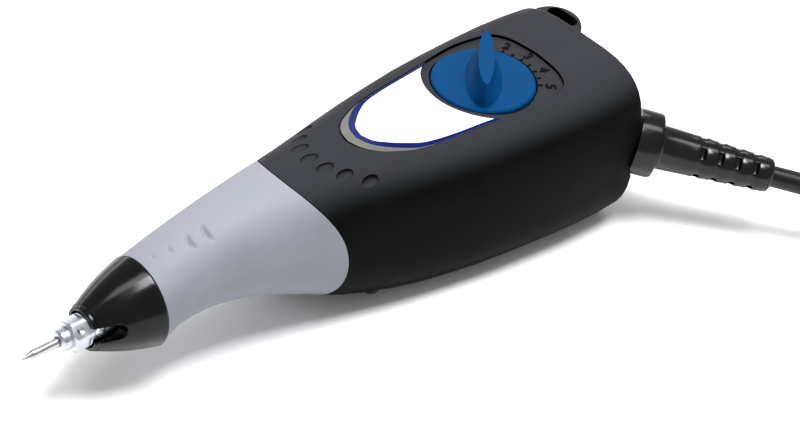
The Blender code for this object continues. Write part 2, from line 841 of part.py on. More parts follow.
def make_rod_nuts(parent):
    """One nut bears on each face of the armature, the rear one in its counterbore."""
    bore = (ROD_END_RADIUS + FIT_GAP / 2) / math.cos(math.pi / 6)
    fronts = (
        ARMATURE_X - ROD_NUT_LENGTH - FIT_GAP,
        armature_web() + FIT_GAP,
    )
    for name, front in zip(("rod_nut_front", "rod_nut_rear"), fronts):
        back = front + ROD_NUT_LENGTH
        profile = [(ROD_NUT_RADIUS, back), (ROD_NUT_RADIUS, front), (bore, front), (bore, back)]
        turned(name, profile, BRASS, sides=6, parent=parent)


# Grip


def make_grip():
    """Soft sleeve over the barrel, with a waist for the fingers and a swept rear edge."""
    outer = [swept_ring(share) for share in GRIP_RING_SHARES]
    bore = BARREL_RADIUS + FIT_GAP
    inner = [bore_ring(ring, bore) for ring in (outer[-1], outer[5], outer[0])]
    mesh = mesh_from(lambda made: skin_rings(made, outer + inner, closed=True))
    grip = part_of(mesh, "grip_sleeve", GREY_RUBBER)
    cut(grip, grip_marks())
    return grip


def bore_ring(ring, radius):
    """A round ring at each point's own x, for a bore that ends on a swept face."""
    return [
        Vector((point.x, radius * math.cos(turn), radius * math.sin(turn)))
        for point, turn in zip(ring, ring_turns())
    ]


def grip_marks():
    """Shallow finger marks along the top of the grip, fading to the nose."""
    meshes = []
    for place, size in zip(MARK_PLACE_SHARES, MARK_SIZE_SHARES):
        x = BODY_FRONT + GRIP_LENGTH * place
        top = Vector((x, -MARK_SIDE, surface_height(x, -MARK_SIDE, 1)))
        radii = (MARK_WIDTH / 2 * size, MARK_LENGTH / 2 * size, MARK_DEPTH * size)
        meshes.append(ball_mesh(top, radii))
    return helper_of(merged_mesh(meshes), "grip_mark_cutter")


# Housing shells


def bulkhead_x():
    return SEAM_PLACE + BULKHEAD_SETBACK


def make_casing_mesh():
    """Both shells in one: a closed cup with its mouth at the seam."""
    outer = [blended_ring(share) for share in SHELL_RING_SHARES]
    for step in (1, 2, 3):
        turn = step * math.pi / 6
        x = BODY_REAR - REAR_FILLET * (1 - math.sin(turn))
        outer.append(body_ring(x, REAR_FILLET * (1 - math.cos(turn))))
    back = BODY_REAR - WALL
    inner = [body_ring(back - (back - SEAM_PLACE) * share, WALL) for share in CAVITY_RING_SHARES]
    inner.append(blended_ring(0.0, WALL))
    rings = inner + outer
    return mesh_from(lambda made: skin_rings(made, rings))


def slanted_slab(name, side):
    """Everything above (side 1) or below (side -1) the parting line, with half the gap."""
    x_low = BODY_FRONT
    x_high = BODY_REAR + LOOP_RADIUS + CUT_OVERRUN
    reach = BODY_HALF_WIDTH + CUT_OVERRUN
    far = side * 2 * BODY_BELLY
    edge = -side * FIT_GAP / 2
    rings = []
    for x in (x_low, x_high):
        near = parting_z(x) + edge
        rings.append([(x, -reach, near), (x, reach, near), (x, reach, near + far), (x, -reach, near + far)])
    return helper_of(mesh_from(lambda made: skin_rings(made, rings)), name)


def panel_half_width(x):
    """Half width of the sunk panel: a long nose towards the grip and a blunt tail."""
    share = (x - DIAL_X + PANEL_REACH) / (PANEL_REACH + PANEL_TAIL)
    return PANEL_HALF_WIDTH * eased(share, PANEL_PLACE_SHARES, PANEL_WIDTH_SHARES)


def panel_outline():
    length = PANEL_REACH + PANEL_TAIL
    return [(DIAL_X - PANEL_REACH + length * share, PANEL_HALF_WIDTH * width) for share, width in panel_shares()]


def panel_shares():
    """The panel's shares, with one more point between each two."""
    places = []
    for first, second in zip(PANEL_PLACE_SHARES, PANEL_PLACE_SHARES[1:]):
        places += [first, (first + second) / 2]
    places.append(PANEL_PLACE_SHARES[-1])
    return [(place, eased(place, PANEL_PLACE_SHARES, PANEL_WIDTH_SHARES)) for place in places]


def mirrored(half):
    """A whole outline from the half on the +y side, whose ends lie on y = 0."""
    upper = [(x, y) for x, y in half if y > FIT_GAP]
    return [half[0]] + upper + [half[-1]] + [(x, -y) for x, y in reversed(upper)]


def inset_body(name, inset):
    """The solid housing under a surface inset from the outside."""
    first = bulkhead_x() - CUT_OVERRUN
    last = BODY_REAR - REAR_FILLET
    rings = [body_ring(first + (last - first) * index / 11, inset) for index in range(12)]
    return helper_of(mesh_from(lambda made: skin_rings(made, rings)), name)


def panel_cutter():
    mesh = prism_mesh(mirrored(panel_outline()), 0, BODY_CROWN + CUT_OVERRUN)
    prism = helper_of(mesh, "panel_cutter")
    cut(prism, inset_body("panel_floor", PANEL_DEPTH))
    return prism


def land_cutter():
    """A flat ring round the dial, cut level."""
    floor = DIAL_TOP - FIT_GAP
    mesh = rod_mesh((DIAL_X, 0, floor), (DIAL_X, 0, BODY_CROWN + CUT_OVERRUN), PANEL_LAND_RADIUS, sides=48)
    return helper_of(mesh, "dial_land_cutter")


def well_floor():
    return DIAL_TOP - DIAL_THICKNESS - DIAL_GAP


def well_cutter():
    mesh = rod_mesh((DIAL_X, 0, well_floor()), (DIAL_X, 0, BODY_CROWN), DIAL_RADIUS + DIAL_GAP, sides=48)
    return helper_of(mesh, "dial_well_cutter")


def spindle_hole_cutter():
    mesh = rod_mesh((DIAL_X, 0, 0), (DIAL_X, 0, BODY_CROWN), SPINDLE_RADIUS + FIT_GAP, sides=24)
    return helper_of(mesh, "spindle_hole_cutter")


def within_housing(mesh, name):
    """A shape inside the housing, trimmed so that it runs a little way into the wall."""
    shape = helper_of(mesh, name)
    keep_common(shape, inset_body(name + "_limit", WALL - JOIN_DEPTH))
    return shape


def pad_underside():
    return well_floor() - DIAL_PAD_DEPTH


def dial_pad():
    """A thick round pad under the well, inside the shell."""
    mesh = rod_mesh((DIAL_X, 0, pad_underside()), (DIAL_X, 0, BODY_CROWN), DIAL_PAD_RADIUS, sides=32)
    return within_housing(mesh, "dial_pad")


def neck_dimples():
    """A row of oval dimples across the neck, that bows towards the nose."""
    meshes = []
    middle = (DIMPLE_COUNT - 1) / 2
    crown = seam_x(body_point(SEAM_PLACE, math.pi / 2).z)
    for index in range(DIMPLE_COUNT):
        turn = math.pi / 2 - (index - middle) * DIMPLE_PITCH_ANGLE
        x = crown + DIMPLE_SETBACK + DIMPLE_SWEEP * ((index - middle) / middle) ** 2
        place = body_point(x, turn)
        near = body_point(x, turn + 0.05) - body_point(x, turn - 0.05)
        lean = math.atan2(near.z, near.y)
        radii = (DIMPLE_LENGTH / 2, DIMPLE_WIDTH / 2, DIMPLE_DEPTH)
        mesh = ball_mesh((0, 0, 0), radii)
        mesh.transform(Matrix.Translation(place) @ Matrix.Rotation(lean, 4, "X"))
        meshes.append(mesh)
    return helper_of(merged_mesh(meshes), "neck_dimple_cutter")


def hang_loop():
    """A lug with a slot, standing out of the rear face on the side away from the cord."""
    low = LOOP_TOP - LOOP_THICKNESS
    middle = (BODY_REAR - JOIN_DEPTH, LOOP_OFFSET, 0)
    mesh = rod_mesh((middle[0], middle[1], low), (middle[0], middle[1], LOOP_TOP), LOOP_RADIUS, sides=32)
    lug = helper_of(mesh, "hang_loop")
    bevel(lug, LOOP_RIM / 2)
    trim = box_mesh(
        (BODY_REAR - LOOP_RADIUS - CUT_OVERRUN, LOOP_OFFSET - LOOP_RADIUS - CUT_OVERRUN, low - CUT_OVERRUN),
        (BODY_REAR - WALL / 2, LOOP_OFFSET + LOOP_RADIUS + CUT_OVERRUN, LOOP_TOP + CUT_OVERRUN),
    )
    cut(lug, helper_of(trim, "hang_loop_trim"))
    return lug


def loop_hole_x():
    return BODY_REAR - JOIN_DEPTH + LOOP_RADIUS - LOOP_RIM - LOOP_HOLE_WIDTH / 2


def loop_hole_cutter():
    straight = (LOOP_HOLE_LENGTH - LOOP_HOLE_WIDTH) / 2
    radius = LOOP_HOLE_WIDTH / 2
    outline = []
    for side in (1, -1):
        for index in range(9):
            turn = math.pi * index / 8 + (0 if side > 0 else math.pi)
            x = loop_hole_x() + radius * math.cos(turn)
            outline.append((x, LOOP_OFFSET + side * straight + radius * math.sin(turn)))
    mesh = prism_mesh(outline, LOOP_TOP - LOOP_THICKNESS - CUT_OVERRUN, LOOP_TOP + CUT_OVERRUN)
    return helper_of(mesh, "loop_hole_cutter")


def entry_direction():
    """The way the cord leaves: back, towards its own side, and a little down."""
    level = math.cos(ENTRY_DROOP)
    return Vector((level * math.cos(ENTRY_TURN), -level * math.sin(ENTRY_TURN), -math.sin(ENTRY_DROOP)))


def entry_point():
    return Vector((BODY_REAR + ENTRY_REACH, -ENTRY_OFFSET, -ENTRY_DEPTH))


def cord_spigot():
    """The slanting spout on the rear face that the strain relief sits on."""
    end = entry_point() + entry_direction() * JOIN_DEPTH
    start = entry_point() - entry_direction() * SPIGOT_ROOT
    spout = helper_of(rod_mesh(start, end, SPIGOT_RADIUS, sides=28), "cord_spigot")
    inside = box_mesh(
        (start.x - SPIGOT_RADIUS, end.y - SPIGOT_ROOT, end.z - SPIGOT_ROOT),
        (BODY_REAR - WALL - SPIGOT_STUB, BODY_HALF_WIDTH, BODY_CROWN),
    )
    cut(spout, helper_of(inside, "spigot_trim"))
    return spout


def collar_clearance():
    """Faces the spout's end, and the corner of the housing level with it."""
    end = entry_point() + entry_direction() * RELIEF_COLLAR_LENGTH
    radius = RELIEF_COLLAR_RADIUS + RUNNING_GAP
    return helper_of(rod_mesh(entry_point(), end, radius, sides=32), "collar_clearance")


def spigot_bore():
    end = entry_point() + entry_direction() * CUT_OVERRUN
    start = entry_point() - entry_direction() * (SPIGOT_ROOT + CUT_OVERRUN)
    return helper_of(rod_mesh(start, end, RELIEF_NECK_RADIUS + FIT_GAP, sides=24), "spigot_bore")


def bulkhead(name):
    """A wall across the neck."""
    front = bulkhead_x()
    rings = [body_ring(x, WALL - JOIN_DEPTH) for x in (front, front + BULKHEAD_THICKNESS)]
    return helper_of(mesh_from(lambda made: skin_rings(made, rings)), name)


def bulkhead_bore():
    start = (bulkhead_x() - CUT_OVERRUN, 0, 0)
    end = (bulkhead_x() + BULKHEAD_THICKNESS + CUT_OVERRUN, 0, 0)
    return helper_of(rod_mesh(start, end, BARREL_RADIUS + FIT_GAP, sides=28), "bulkhead_bore")


def post_places():
    front = SEAM_PLACE + FRONT_POST_SETBACK
    rear = BODY_REAR - REAR_POST_INSET
    return [
        (front, -FRONT_POST_SPREAD),
        (front, FRONT_POST_SPREAD),
        (rear, -REAR_POST_SPREAD),
        (rear, REAR_POST_SPREAD),
    ]


def screw_posts(name):
    """Screw posts that run from the floor of the cover to the crown."""
    posts = []
    for index, (x, y) in enumerate(post_places()):
        mesh = rod_mesh((x, y, -BODY_BELLY), (x, y, BODY_CROWN), SCREW_POST_RADIUS, sides=16)
        posts.append(within_housing(mesh, name + str(index)))
    return posts


def surface_height(x, y, side):
    """Height of the body's surface over (side 1) or under (side -1) a point."""
    width, crown, belly, squareness = section(x)
    middle = (crown + belly) / 2
    height = (crown - belly) / 2
    reach = (1 - min(abs(y) / width, 1.0) ** squareness) ** (1 / squareness)
    return middle + side * height * reach


def screw_seat_z(x, y):
    """Height of the face under a cover screw's head."""
    return surface_height(x, y, -1) + SCREW_HEAD_HEIGHT + WALL / 2


def screw_bores(name):
    """Stepped holes from below: head, then shank."""
    meshes = []
    for x, y in post_places():
        seat = screw_seat_z(x, y)
        under = surface_height(x, y, -1) - 2 * CUT_OVERRUN
        head = SCREW_HEAD_RADIUS + FIT_GAP
        shank = SCREW_RADIUS + FIT_GAP / 2
        steps = ((head, under), (head, seat), (shank, seat), (shank, seat + SCREW_LENGTH + FIT_GAP))
        meshes.append(stepped_mesh((x, y), steps))
    return helper_of(merged_mesh(meshes), name)


def make_screw(name, place, radius, head_radius, head_height, length, cross=True, parent=ROOT):
    """A pan screw that points up, with the outer face of its head at the given place."""
    profile = [
        (0, head_height + length),
        (radius, head_height + length - radius),
        (radius, head_height),
        (head_radius, head_height),
        (head_radius, 0),
        (0, 0),
    ]
    screw = turned(name, profile, STEEL, place=place, axis=(0, 0, 1), sides=14, parent=parent)
    if cross:
        arm = head_radius * SCREW_CROSS_SHARE
        half = head_radius * SCREW_SLIT_SHARE
        quarter = [(arm, half), (half, half), (half, arm), (-half, arm), (-half, half), (-arm, half)]
        outline = quarter + [(-x, -y) for x, y in quarter]
        mesh = prism_mesh(outline, -CUT_OVERRUN, head_height * SCREW_CROSS_DEPTH_SHARE)
        cut(screw, helper_of(mesh, name + "_cross", place=place, parent=parent))
    return screw


def make_cover_screws():
    names = ("cover_screw_front_near", "cover_screw_front_far", "cover_screw_rear_near", "cover_screw_rear_far")
    for name, (x, y) in zip(names, post_places()):
        place = (x, y, screw_seat_z(x, y) - FIT_GAP - SCREW_HEAD_HEIGHT)
        make_screw(name, place, SCREW_RADIUS, SCREW_HEAD_RADIUS, SCREW_HEAD_HEIGHT, SCREW_LENGTH)


def make_top_shell():
    shell = part_of(make_casing_mesh(), "top_shell", BLACK_NYLON)
    join(shell, dial_pad(), bulkhead("bulkhead"), *screw_posts("screw_post_"), *slider_guides())
    cut(shell, slanted_slab("below_parting", -1))
    join(shell, hang_loop(), cord_spigot())
    cut(
        shell,
        panel_cutter(),
        land_cutter(),
        well_cutter(),
        spindle_hole_cutter(),
        bulkhead_bore(),
        spigot_bore(),
        collar_clearance(),
        loop_hole_cutter(),
        neck_dimples(),
        screw_bores("post_bores"),
    )
    return shell


def make_bottom_cover():
    cover = part_of(make_casing_mesh(), "bottom_cover", BLACK_NYLON)
    join(cover, bulkhead("cover_bulkhead"), *screw_posts("cover_post_"))
    cut(cover, slanted_slab("above_parting", 1))
    join(cover, bracket_pad(), *core_ribs())
    cut(cover, screw_bores("cover_bores"), bracket_screw_bores())
    return cover


# Label


def label_outline():
    """The front of the panel less a margin, with a rear edge that follows the dial."""
    tip = DIAL_X - PANEL_REACH
    half = [(tip + 2 * LABEL_MARGIN, 0.0)]
    for share, _ in panel_shares():
        x = tip + share * (PANEL_REACH + PANEL_TAIL)
        if 2 * LABEL_MARGIN < x - tip < LABEL_LENGTH:
            half.append((x, panel_half_width(x) - LABEL_MARGIN))
    half.append((tip + LABEL_LENGTH, panel_half_width(tip + LABEL_LENGTH) - LABEL_MARGIN))
    for index in range(9):
        y = LABEL_ARC_HALF_WIDTH * (1 - index / 8)
        half.append((DIAL_X - math.sqrt(LABEL_ARC_RADIUS**2 - y**2), y))
    return half


def make_label():
    """A thin plate that lies in the sunk panel and follows its curve."""
    under = PANEL_DEPTH - LABEL_LIFT
    mesh = prism_mesh(mirrored(label_outline()), 0, BODY_CROWN + CUT_OVERRUN)
    label = part_of(mesh, "label_plate", WHITE_FILM)
    keep_common(label, inset_body("label_top", under - LABEL_THICKNESS))
    cut(label, inset_body("label_underside", under))
    return label


# Dial, cam and stop


def fin_ring(share):
    """An almond in plan at a share of the fin's height, wide at the foot and hollow in the flanks."""
    flare = (1 - share) ** FIN_FLARE_POWER
    half_width = (FIN_TOP_WIDTH + (FIN_FOOT_WIDTH - FIN_TOP_WIDTH) * flare) / 2
    half_length = FIN_LENGTH / 2 * (1 - FIN_END_RAKE_SHARE * share)
    ring = []
    for index in range(2 * FIN_POINTS):
        turn = math.pi * index / FIN_POINTS
        x = half_length * math.cos(turn)
        bow = math.sin(turn)
        y = half_width * signed_power(bow, FIN_POINT_POWER)
        ring.append(Vector((x, y, FIN_HEIGHT * share)))
    return ring


def make_dial(parent):
    under = -DIAL_THICKNESS
    foot = pad_underside() - DIAL_TOP - FIT_GAP / 2
    profile = [
        (0, 0),
        (DIAL_RADIUS - SMALL_EDGE, 0),
        (DIAL_RADIUS, -SMALL_EDGE),
        (DIAL_RADIUS, under),
        (SPINDLE_RADIUS, under),
        (SPINDLE_RADIUS, foot),
        (0, foot),
    ]
    dial = turned("stroke_dial", profile, BLUE_PLASTIC, axis=(0, 0, 1), sides=48, parent=parent)
    levels = [index / FIN_LEVELS for index in range(FIN_LEVELS + 1)]
    foot_ring = [Vector((point.x, point.y, -JOIN_DEPTH)) for point in fin_ring(0)]
    mesh = mesh_from(lambda made: skin_rings(made, [foot_ring] + [fin_ring(share) for share in levels]))
    mesh.transform(Matrix.Rotation(DIAL_REST_TURN, 4, "Z"))
    join(dial, helper_of(mesh, "dial_fin", parent=parent))
    pilot = rod_mesh(
        (0, 0, foot - CUT_OVERRUN),
        (0, 0, cam_bottom() - DIAL_TOP + CAM_SCREW_LENGTH),
        CAM_SCREW_RADIUS + FIT_GAP / 2,
        sides=14,
    )
    cut(dial, helper_of(pilot, "dial_pilot_hole", parent=parent))
    return dial


def cam_top():
    return pad_underside() - RUNNING_GAP


def cam_bottom():
    return cam_top() - CAM_THICKNESS


def cam_radius(turn):
    """Radius of the cam by the angle from its follower: it falls steadily over the dial's range."""
    past = (turn - math.pi) % (2 * math.pi)
    if past <= CAM_SWEEP:
        return CAM_RADIUS + CAM_LIFT * (1 - past / CAM_SWEEP)
    back = (past - CAM_SWEEP) / (2 * math.pi - CAM_SWEEP)
    return CAM_RADIUS + CAM_LIFT * (1 - math.cos(math.pi * back)) / 2


def make_cam(parent):
    turns = [2 * math.pi * index / 40 for index in range(40)]
    outline = [(cam_radius(turn) * math.cos(turn), cam_radius(turn) * math.sin(turn)) for turn in turns]
    mesh = prism_mesh(outline, cam_bottom() - DIAL_TOP, cam_top() - DIAL_TOP)
    cam = part_of(mesh, "dial_cam", BOBBIN_NYLON, parent=parent)
    hole = rod_mesh(
        (0, 0, cam_bottom() - DIAL_TOP - CUT_OVERRUN),
        (0, 0, cam_top() - DIAL_TOP + CUT_OVERRUN),
        CAM_SCREW_RADIUS + FIT_GAP,
        sides=14,
    )
    cut(cam, helper_of(hole, "cam_hole", parent=parent))
    place = (0, 0, cam_bottom() - DIAL_TOP - FIT_GAP - CAM_SCREW_HEAD_HEIGHT)
    make_screw(
        "cam_screw",
        place,
        CAM_SCREW_RADIUS,
        CAM_SCREW_HEAD_RADIUS,
        CAM_SCREW_HEAD_HEIGHT,
        CAM_SCREW_LENGTH,
        parent=parent,
    )
    return cam


def stop_middle():
    """Height of the middle of the stop slider, level with the cam."""
    return (cam_bottom() + cam_top()) / 2


def slider_front():
    return ARMATURE_BACK + STOP_CLEARANCE + BUMPER_LENGTH + FIT_GAP


def make_stop(parent):
    """A bar that the cam pushes towards the armature, with a rubber bumper on a stud."""
    front = slider_front()
    back = DIAL_X - CAM_RADIUS - CAM_LIFT - FIT_GAP
    middle = stop_middle()
    bar = box_mesh(
        (front, -STOP_WIDTH / 2, middle - STOP_HEIGHT / 2),
        (back, STOP_WIDTH / 2, middle + STOP_HEIGHT / 2),
    )
    slider = part_of(bar, "stop_slider", BOBBIN_NYLON, parent=parent)
    stud = rod_mesh((front - STUD_LENGTH, 0, middle), (front + JOIN_DEPTH, 0, middle), STUD_RADIUS, sides=14)
    join(slider, helper_of(stud, "stop_stud", parent=parent))
    tip = front - FIT_GAP - BUMPER_LENGTH
    bore = STUD_RADIUS + FIT_GAP
    end = front - STUD_LENGTH - FIT_GAP
    profile = [
        (0, end),
        (bore, end),
        (bore, front - FIT_GAP),
        (BUMPER_RADIUS, front - FIT_GAP),
        (BUMPER_RADIUS, tip + SMALL_EDGE),
        (BUMPER_RADIUS - SMALL_EDGE, tip),
        (0, tip),
    ]
    return turned("stop_bumper", profile, BLACK_RUBBER, place=(0, 0, middle), sides=18, parent=parent)


def slider_guides():
    """A channel under the crown that the stop slider runs in."""
    front = slider_front() + RAIL_SETBACK
    back = front + RAIL_LENGTH
    inside = STOP_WIDTH / 2 + FIT_GAP
    floor = stop_middle() - STOP_HEIGHT / 2 - FIT_GAP
    low = floor - RAIL_THICKNESS
    outside = inside + RAIL_THICKNESS
    guides = []
    for name, side in (("guide_near", -1), ("guide_far", 1)):
        ends = sorted((side * inside, side * outside))
        mesh = box_mesh((front, ends[0], low), (back, ends[1], BODY_CROWN))
        guides.append(within_housing(mesh, name))
    mesh = box_mesh((front, -outside + JOIN_DEPTH, low), (back, outside - JOIN_DEPTH, floor))
    guides.append(helper_of(mesh, "guide_floor"))
    return guides


# Hammer mechanism


def pivot_place():
    return Vector((ARMATURE_X - FIT_GAP - LEAF_THICKNESS / 2, 0, -PIVOT_DEPTH))


def armature_web():
    """Rear face of the web that the rod nuts pull on."""
    return ARMATURE_BACK - ROD_NUT_LENGTH - 2 * FIT_GAP


def make_armature(parent):
    pivot = pivot_place()
    low = Vector((ARMATURE_X, -ARMATURE_HALF_WIDTH, -PIVOT_DEPTH + PIVOT_CLEARANCE)) - pivot
    high = Vector((ARMATURE_BACK, ARMATURE_HALF_WIDTH, ARMATURE_TOP)) - pivot
    armature = part_of(box_mesh(low, high), "armature", STEEL, parent=parent)
    steps = (
        (ROD_END_RADIUS + 2 * FIT_GAP, ARMATURE_X - CUT_OVERRUN),
        (ROD_END_RADIUS + 2 * FIT_GAP, armature_web()),
        (ROD_NUT_RADIUS + RUNNING_GAP, armature_web()),
        (ROD_NUT_RADIUS + RUNNING_GAP, ARMATURE_BACK + CUT_OVERRUN),
    )
    rings = [circle(x, radius, 20) for radius, x in steps]
    mesh = mesh_from(lambda made: skin_rings(made, rings))
    cut(armature, helper_of(mesh, "armature_hole", place=-pivot, parent=parent))
    return armature


def bracket_top():
    return -PIVOT_DEPTH + BRACKET_HEIGHT / 2


def bracket_bottom():
    return -PIVOT_DEPTH - BRACKET_HEIGHT / 2


def bracket_front():
    return ARMATURE_X - LEAF_THICKNESS - BRACKET_LENGTH / 2


def make_leaf_spring(parent):
    """Returns the armature. Its foot stands in the bracket's slot."""
    pivot = pivot_place()
    low = Vector((ARMATURE_X - FIT_GAP - LEAF_THICKNESS, -LEAF_HALF_WIDTH, bracket_top() - LEAF_FOOT)) - pivot
    high = Vector((ARMATURE_X - FIT_GAP, LEAF_HALF_WIDTH, LEAF_TOP)) - pivot
    return part_of(box_mesh(low, high), "leaf_spring", SPRING_STEEL, parent=parent)


def bracket_screw_places():
    x = bracket_front() + BRACKET_SCREW_SETBACK
    return [(x, side * BRACKET_SCREW_SPREAD) for side in (-1, 1)]


def make_bracket():
    front = bracket_front()
    mesh = box_mesh(
        (front, -BRACKET_HALF_WIDTH, bracket_bottom()),
        (front + BRACKET_LENGTH, BRACKET_HALF_WIDTH, bracket_top()),
    )
    bracket = part_of(mesh, "spring_bracket", ZINC)
    leaf_front = ARMATURE_X - FIT_GAP - LEAF_THICKNESS
    slot = box_mesh(
        (leaf_front - FIT_GAP, -LEAF_HALF_WIDTH - FIT_GAP, bracket_top() - LEAF_FOOT - FIT_GAP),
        (leaf_front + LEAF_THICKNESS + FIT_GAP, LEAF_HALF_WIDTH + FIT_GAP, bracket_top() + CUT_OVERRUN),
    )
    radius = BRACKET_SCREW_RADIUS + FIT_GAP
    holes = [
        rod_mesh((x, y, bracket_bottom() - CUT_OVERRUN), (x, y, bracket_top() + CUT_OVERRUN), radius, sides=14)
        for x, y in bracket_screw_places()
    ]
    cut(bracket, helper_of(slot, "leaf_slot"), helper_of(merged_mesh(holes), "bracket_holes"))
    return bracket


def make_bracket_screws():
    for name, (x, y) in zip(("bracket_screw_near", "bracket_screw_far"), bracket_screw_places()):
        head = bracket_top() + FIT_GAP
        profile = [
            (0, BRACKET_SCREW_LENGTH + BRACKET_SCREW_HEAD_HEIGHT),
            (BRACKET_SCREW_RADIUS, BRACKET_SCREW_LENGTH + BRACKET_SCREW_HEAD_HEIGHT - BRACKET_SCREW_RADIUS),
            (BRACKET_SCREW_RADIUS, BRACKET_SCREW_HEAD_HEIGHT),
            (BRACKET_SCREW_HEAD_RADIUS, BRACKET_SCREW_HEAD_HEIGHT),
            (BRACKET_SCREW_HEAD_RADIUS, 0),
            (0, 0),
        ]
        place = (x, y, head + BRACKET_SCREW_HEAD_HEIGHT)
        turned(name, profile, STEEL, place=place, axis=(0, 0, -1), sides=14)


def bracket_pad():
    """Stands on the floor of the cover under the bracket."""
    front = bracket_front()
    mesh = box_mesh(
        (front, -BRACKET_HALF_WIDTH, -BODY_BELLY),
        (front + BRACKET_LENGTH, BRACKET_HALF_WIDTH, bracket_bottom() - FIT_GAP),
    )
    return within_housing(mesh, "bracket_pad")


def bracket_screw_bores():
    end = bracket_top() - BRACKET_SCREW_LENGTH
    radius = BRACKET_SCREW_RADIUS + FIT_GAP / 2
    holes = [
        rod_mesh((x, y, end), (x, y, bracket_bottom() + CUT_OVERRUN), radius, sides=14)
        for x, y in bracket_screw_places()
    ]
    return helper_of(merged_mesh(holes), "bracket_screw_bores")


def core_ribs():
    """Two seats across the floor of the cover under the core."""
    ribs = []
    places = (CORE_FRONT + SEAT_RIB_INSET, CORE_BACK - SEAT_RIB_INSET - SEAT_RIB)
    for name, x in zip(("core_rib_front", "core_rib_rear"), places):
        mesh = box_mesh(
            (x, -CORE_HALF_WIDTH, -BODY_BELLY),
            (x + SEAT_RIB, CORE_HALF_WIDTH, CORE_BOTTOM - FIT_GAP),
        )
        ribs.append(within_housing(mesh, name))
    return ribs


def core_middle():
    """Height of the middle of the core's middle leg."""
    return CORE_TOP - CORE_LEG - CORE_WINDOW - CORE_MIDDLE / 2


def window_back():
    return CORE_BACK - CORE_YOKE


def make_core():
    """A stack of E laminations, open to the armature."""
    levels = [
        CORE_TOP,
        CORE_TOP - CORE_LEG,
        CORE_TOP - CORE_LEG - CORE_WINDOW,
        CORE_TOP - CORE_LEG - CORE_WINDOW - CORE_MIDDLE,
        CORE_BOTTOM + CORE_LEG,
        CORE_BOTTOM,
    ]
    outline = [(CORE_BACK, CORE_BOTTOM), (CORE_BACK, CORE_TOP)]
    for index, level in enumerate(levels):
        ends = (CORE_FRONT, window_back())
        first, second = ends if index % 2 else reversed(ends)
        outline += [(first, level), (second, level)]
    outline = [outline[0], outline[1], (CORE_FRONT, levels[0])] + outline[4:-1]
    core = part_of(side_prism_mesh(outline, CORE_HALF_WIDTH), "core_stack", LAMINATION)
    holes = [
        rod_mesh(
            (x, -CORE_HALF_WIDTH - CUT_OVERRUN, z),
            (x, CORE_HALF_WIDTH + CUT_OVERRUN, z),
            RIVET_RADIUS + FIT_GAP / 2,
            sides=14,
        )
        for x, z in rivet_places()
    ]
    cut(core, helper_of(merged_mesh(holes), "rivet_holes"))
    return core


def rivet_places():
    x = CORE_BACK - CORE_YOKE / 2
    return [(x, CORE_TOP - CORE_LEG), (x, CORE_BOTTOM + CORE_LEG)]


def make_rivets():
    reach = CORE_HALF_WIDTH + FIT_GAP
    for name, (x, z) in zip(("core_rivet_upper", "core_rivet_lower"), rivet_places()):
        profile = [
            (0, reach + RIVET_HEAD),
            (RIVET_HEAD_RADIUS / 2, reach + RIVET_HEAD),
            (RIVET_HEAD_RADIUS, reach),
            (RIVET_RADIUS, reach),
            (RIVET_RADIUS, -reach),
            (RIVET_HEAD_RADIUS, -reach),
            (RIVET_HEAD_RADIUS / 2, -reach - RIVET_HEAD),
            (0, -reach - RIVET_HEAD),
        ]
        turned(name, profile, STEEL, place=(x, 0, z), axis=(0, 1, 0), sides=16)


def rounded_ring(x, half_y, half_z, corner):
    """A rounded rectangle across the nose axis, round the core's middle leg."""
    ring = []
    for quarter, (side_y, side_z) in enumerate(((1, 1), (-1, 1), (-1, -1), (1, -1))):
        for index in range(4):
            turn = math.pi / 2 * (quarter + index / 3)
            y = side_y * (half_y - corner) + corner * math.cos(turn)
            z = side_z * (half_z - corner) + corner * math.sin(turn)
            ring.append(Vector((x, y, core_middle() + z)))
    return ring


def bobbin_bounds():
    return CORE_FRONT + BOBBIN_SETBACK, window_back() - FIT_GAP


def make_bobbin():
    """A flanged frame on the middle leg."""
    front, back = bobbin_bounds()
    hole_y = CORE_HALF_WIDTH + FIT_GAP
    hole_z = CORE_MIDDLE / 2 + FIT_GAP
    reach = CORE_WINDOW - 2 * FIT_GAP
    stations = (
        (front, 0),
        (front, reach),
        (front + BOBBIN_FLANGE, reach),
        (front + BOBBIN_FLANGE, BOBBIN_WALL),
        (back - BOBBIN_FLANGE, BOBBIN_WALL),
        (back - BOBBIN_FLANGE, reach),
        (back, reach),
        (back, 0),
    )
    rings = [rounded_ring(x, hole_y + out, hole_z + out, BOBBIN_CORNER) for x, out in stations]
    mesh = mesh_from(lambda made: skin_rings(made, rings, closed=True))
    return part_of(mesh, "coil_bobbin", BOBBIN_NYLON)


def make_winding():
    front, back = bobbin_bounds()
    front += BOBBIN_FLANGE + FIT_GAP
    back -= BOBBIN_FLANGE + FIT_GAP
    inside = FIT_GAP + BOBBIN_WALL + FIT_GAP
    corner = BOBBIN_CORNER + BOBBIN_WALL
    rings = []
    for x, out in ((front, inside), (front, inside + WINDING_DEPTH), (back, inside + WINDING_DEPTH), (back, inside)):
        rings.append(rounded_ring(x, CORE_HALF_WIDTH + out, CORE_MIDDLE / 2 + out, corner))
    mesh = mesh_from(lambda made: skin_rings(made, rings, closed=True))
    return part_of(mesh, "coil_winding", COPPER)


# Cord entry and wiring


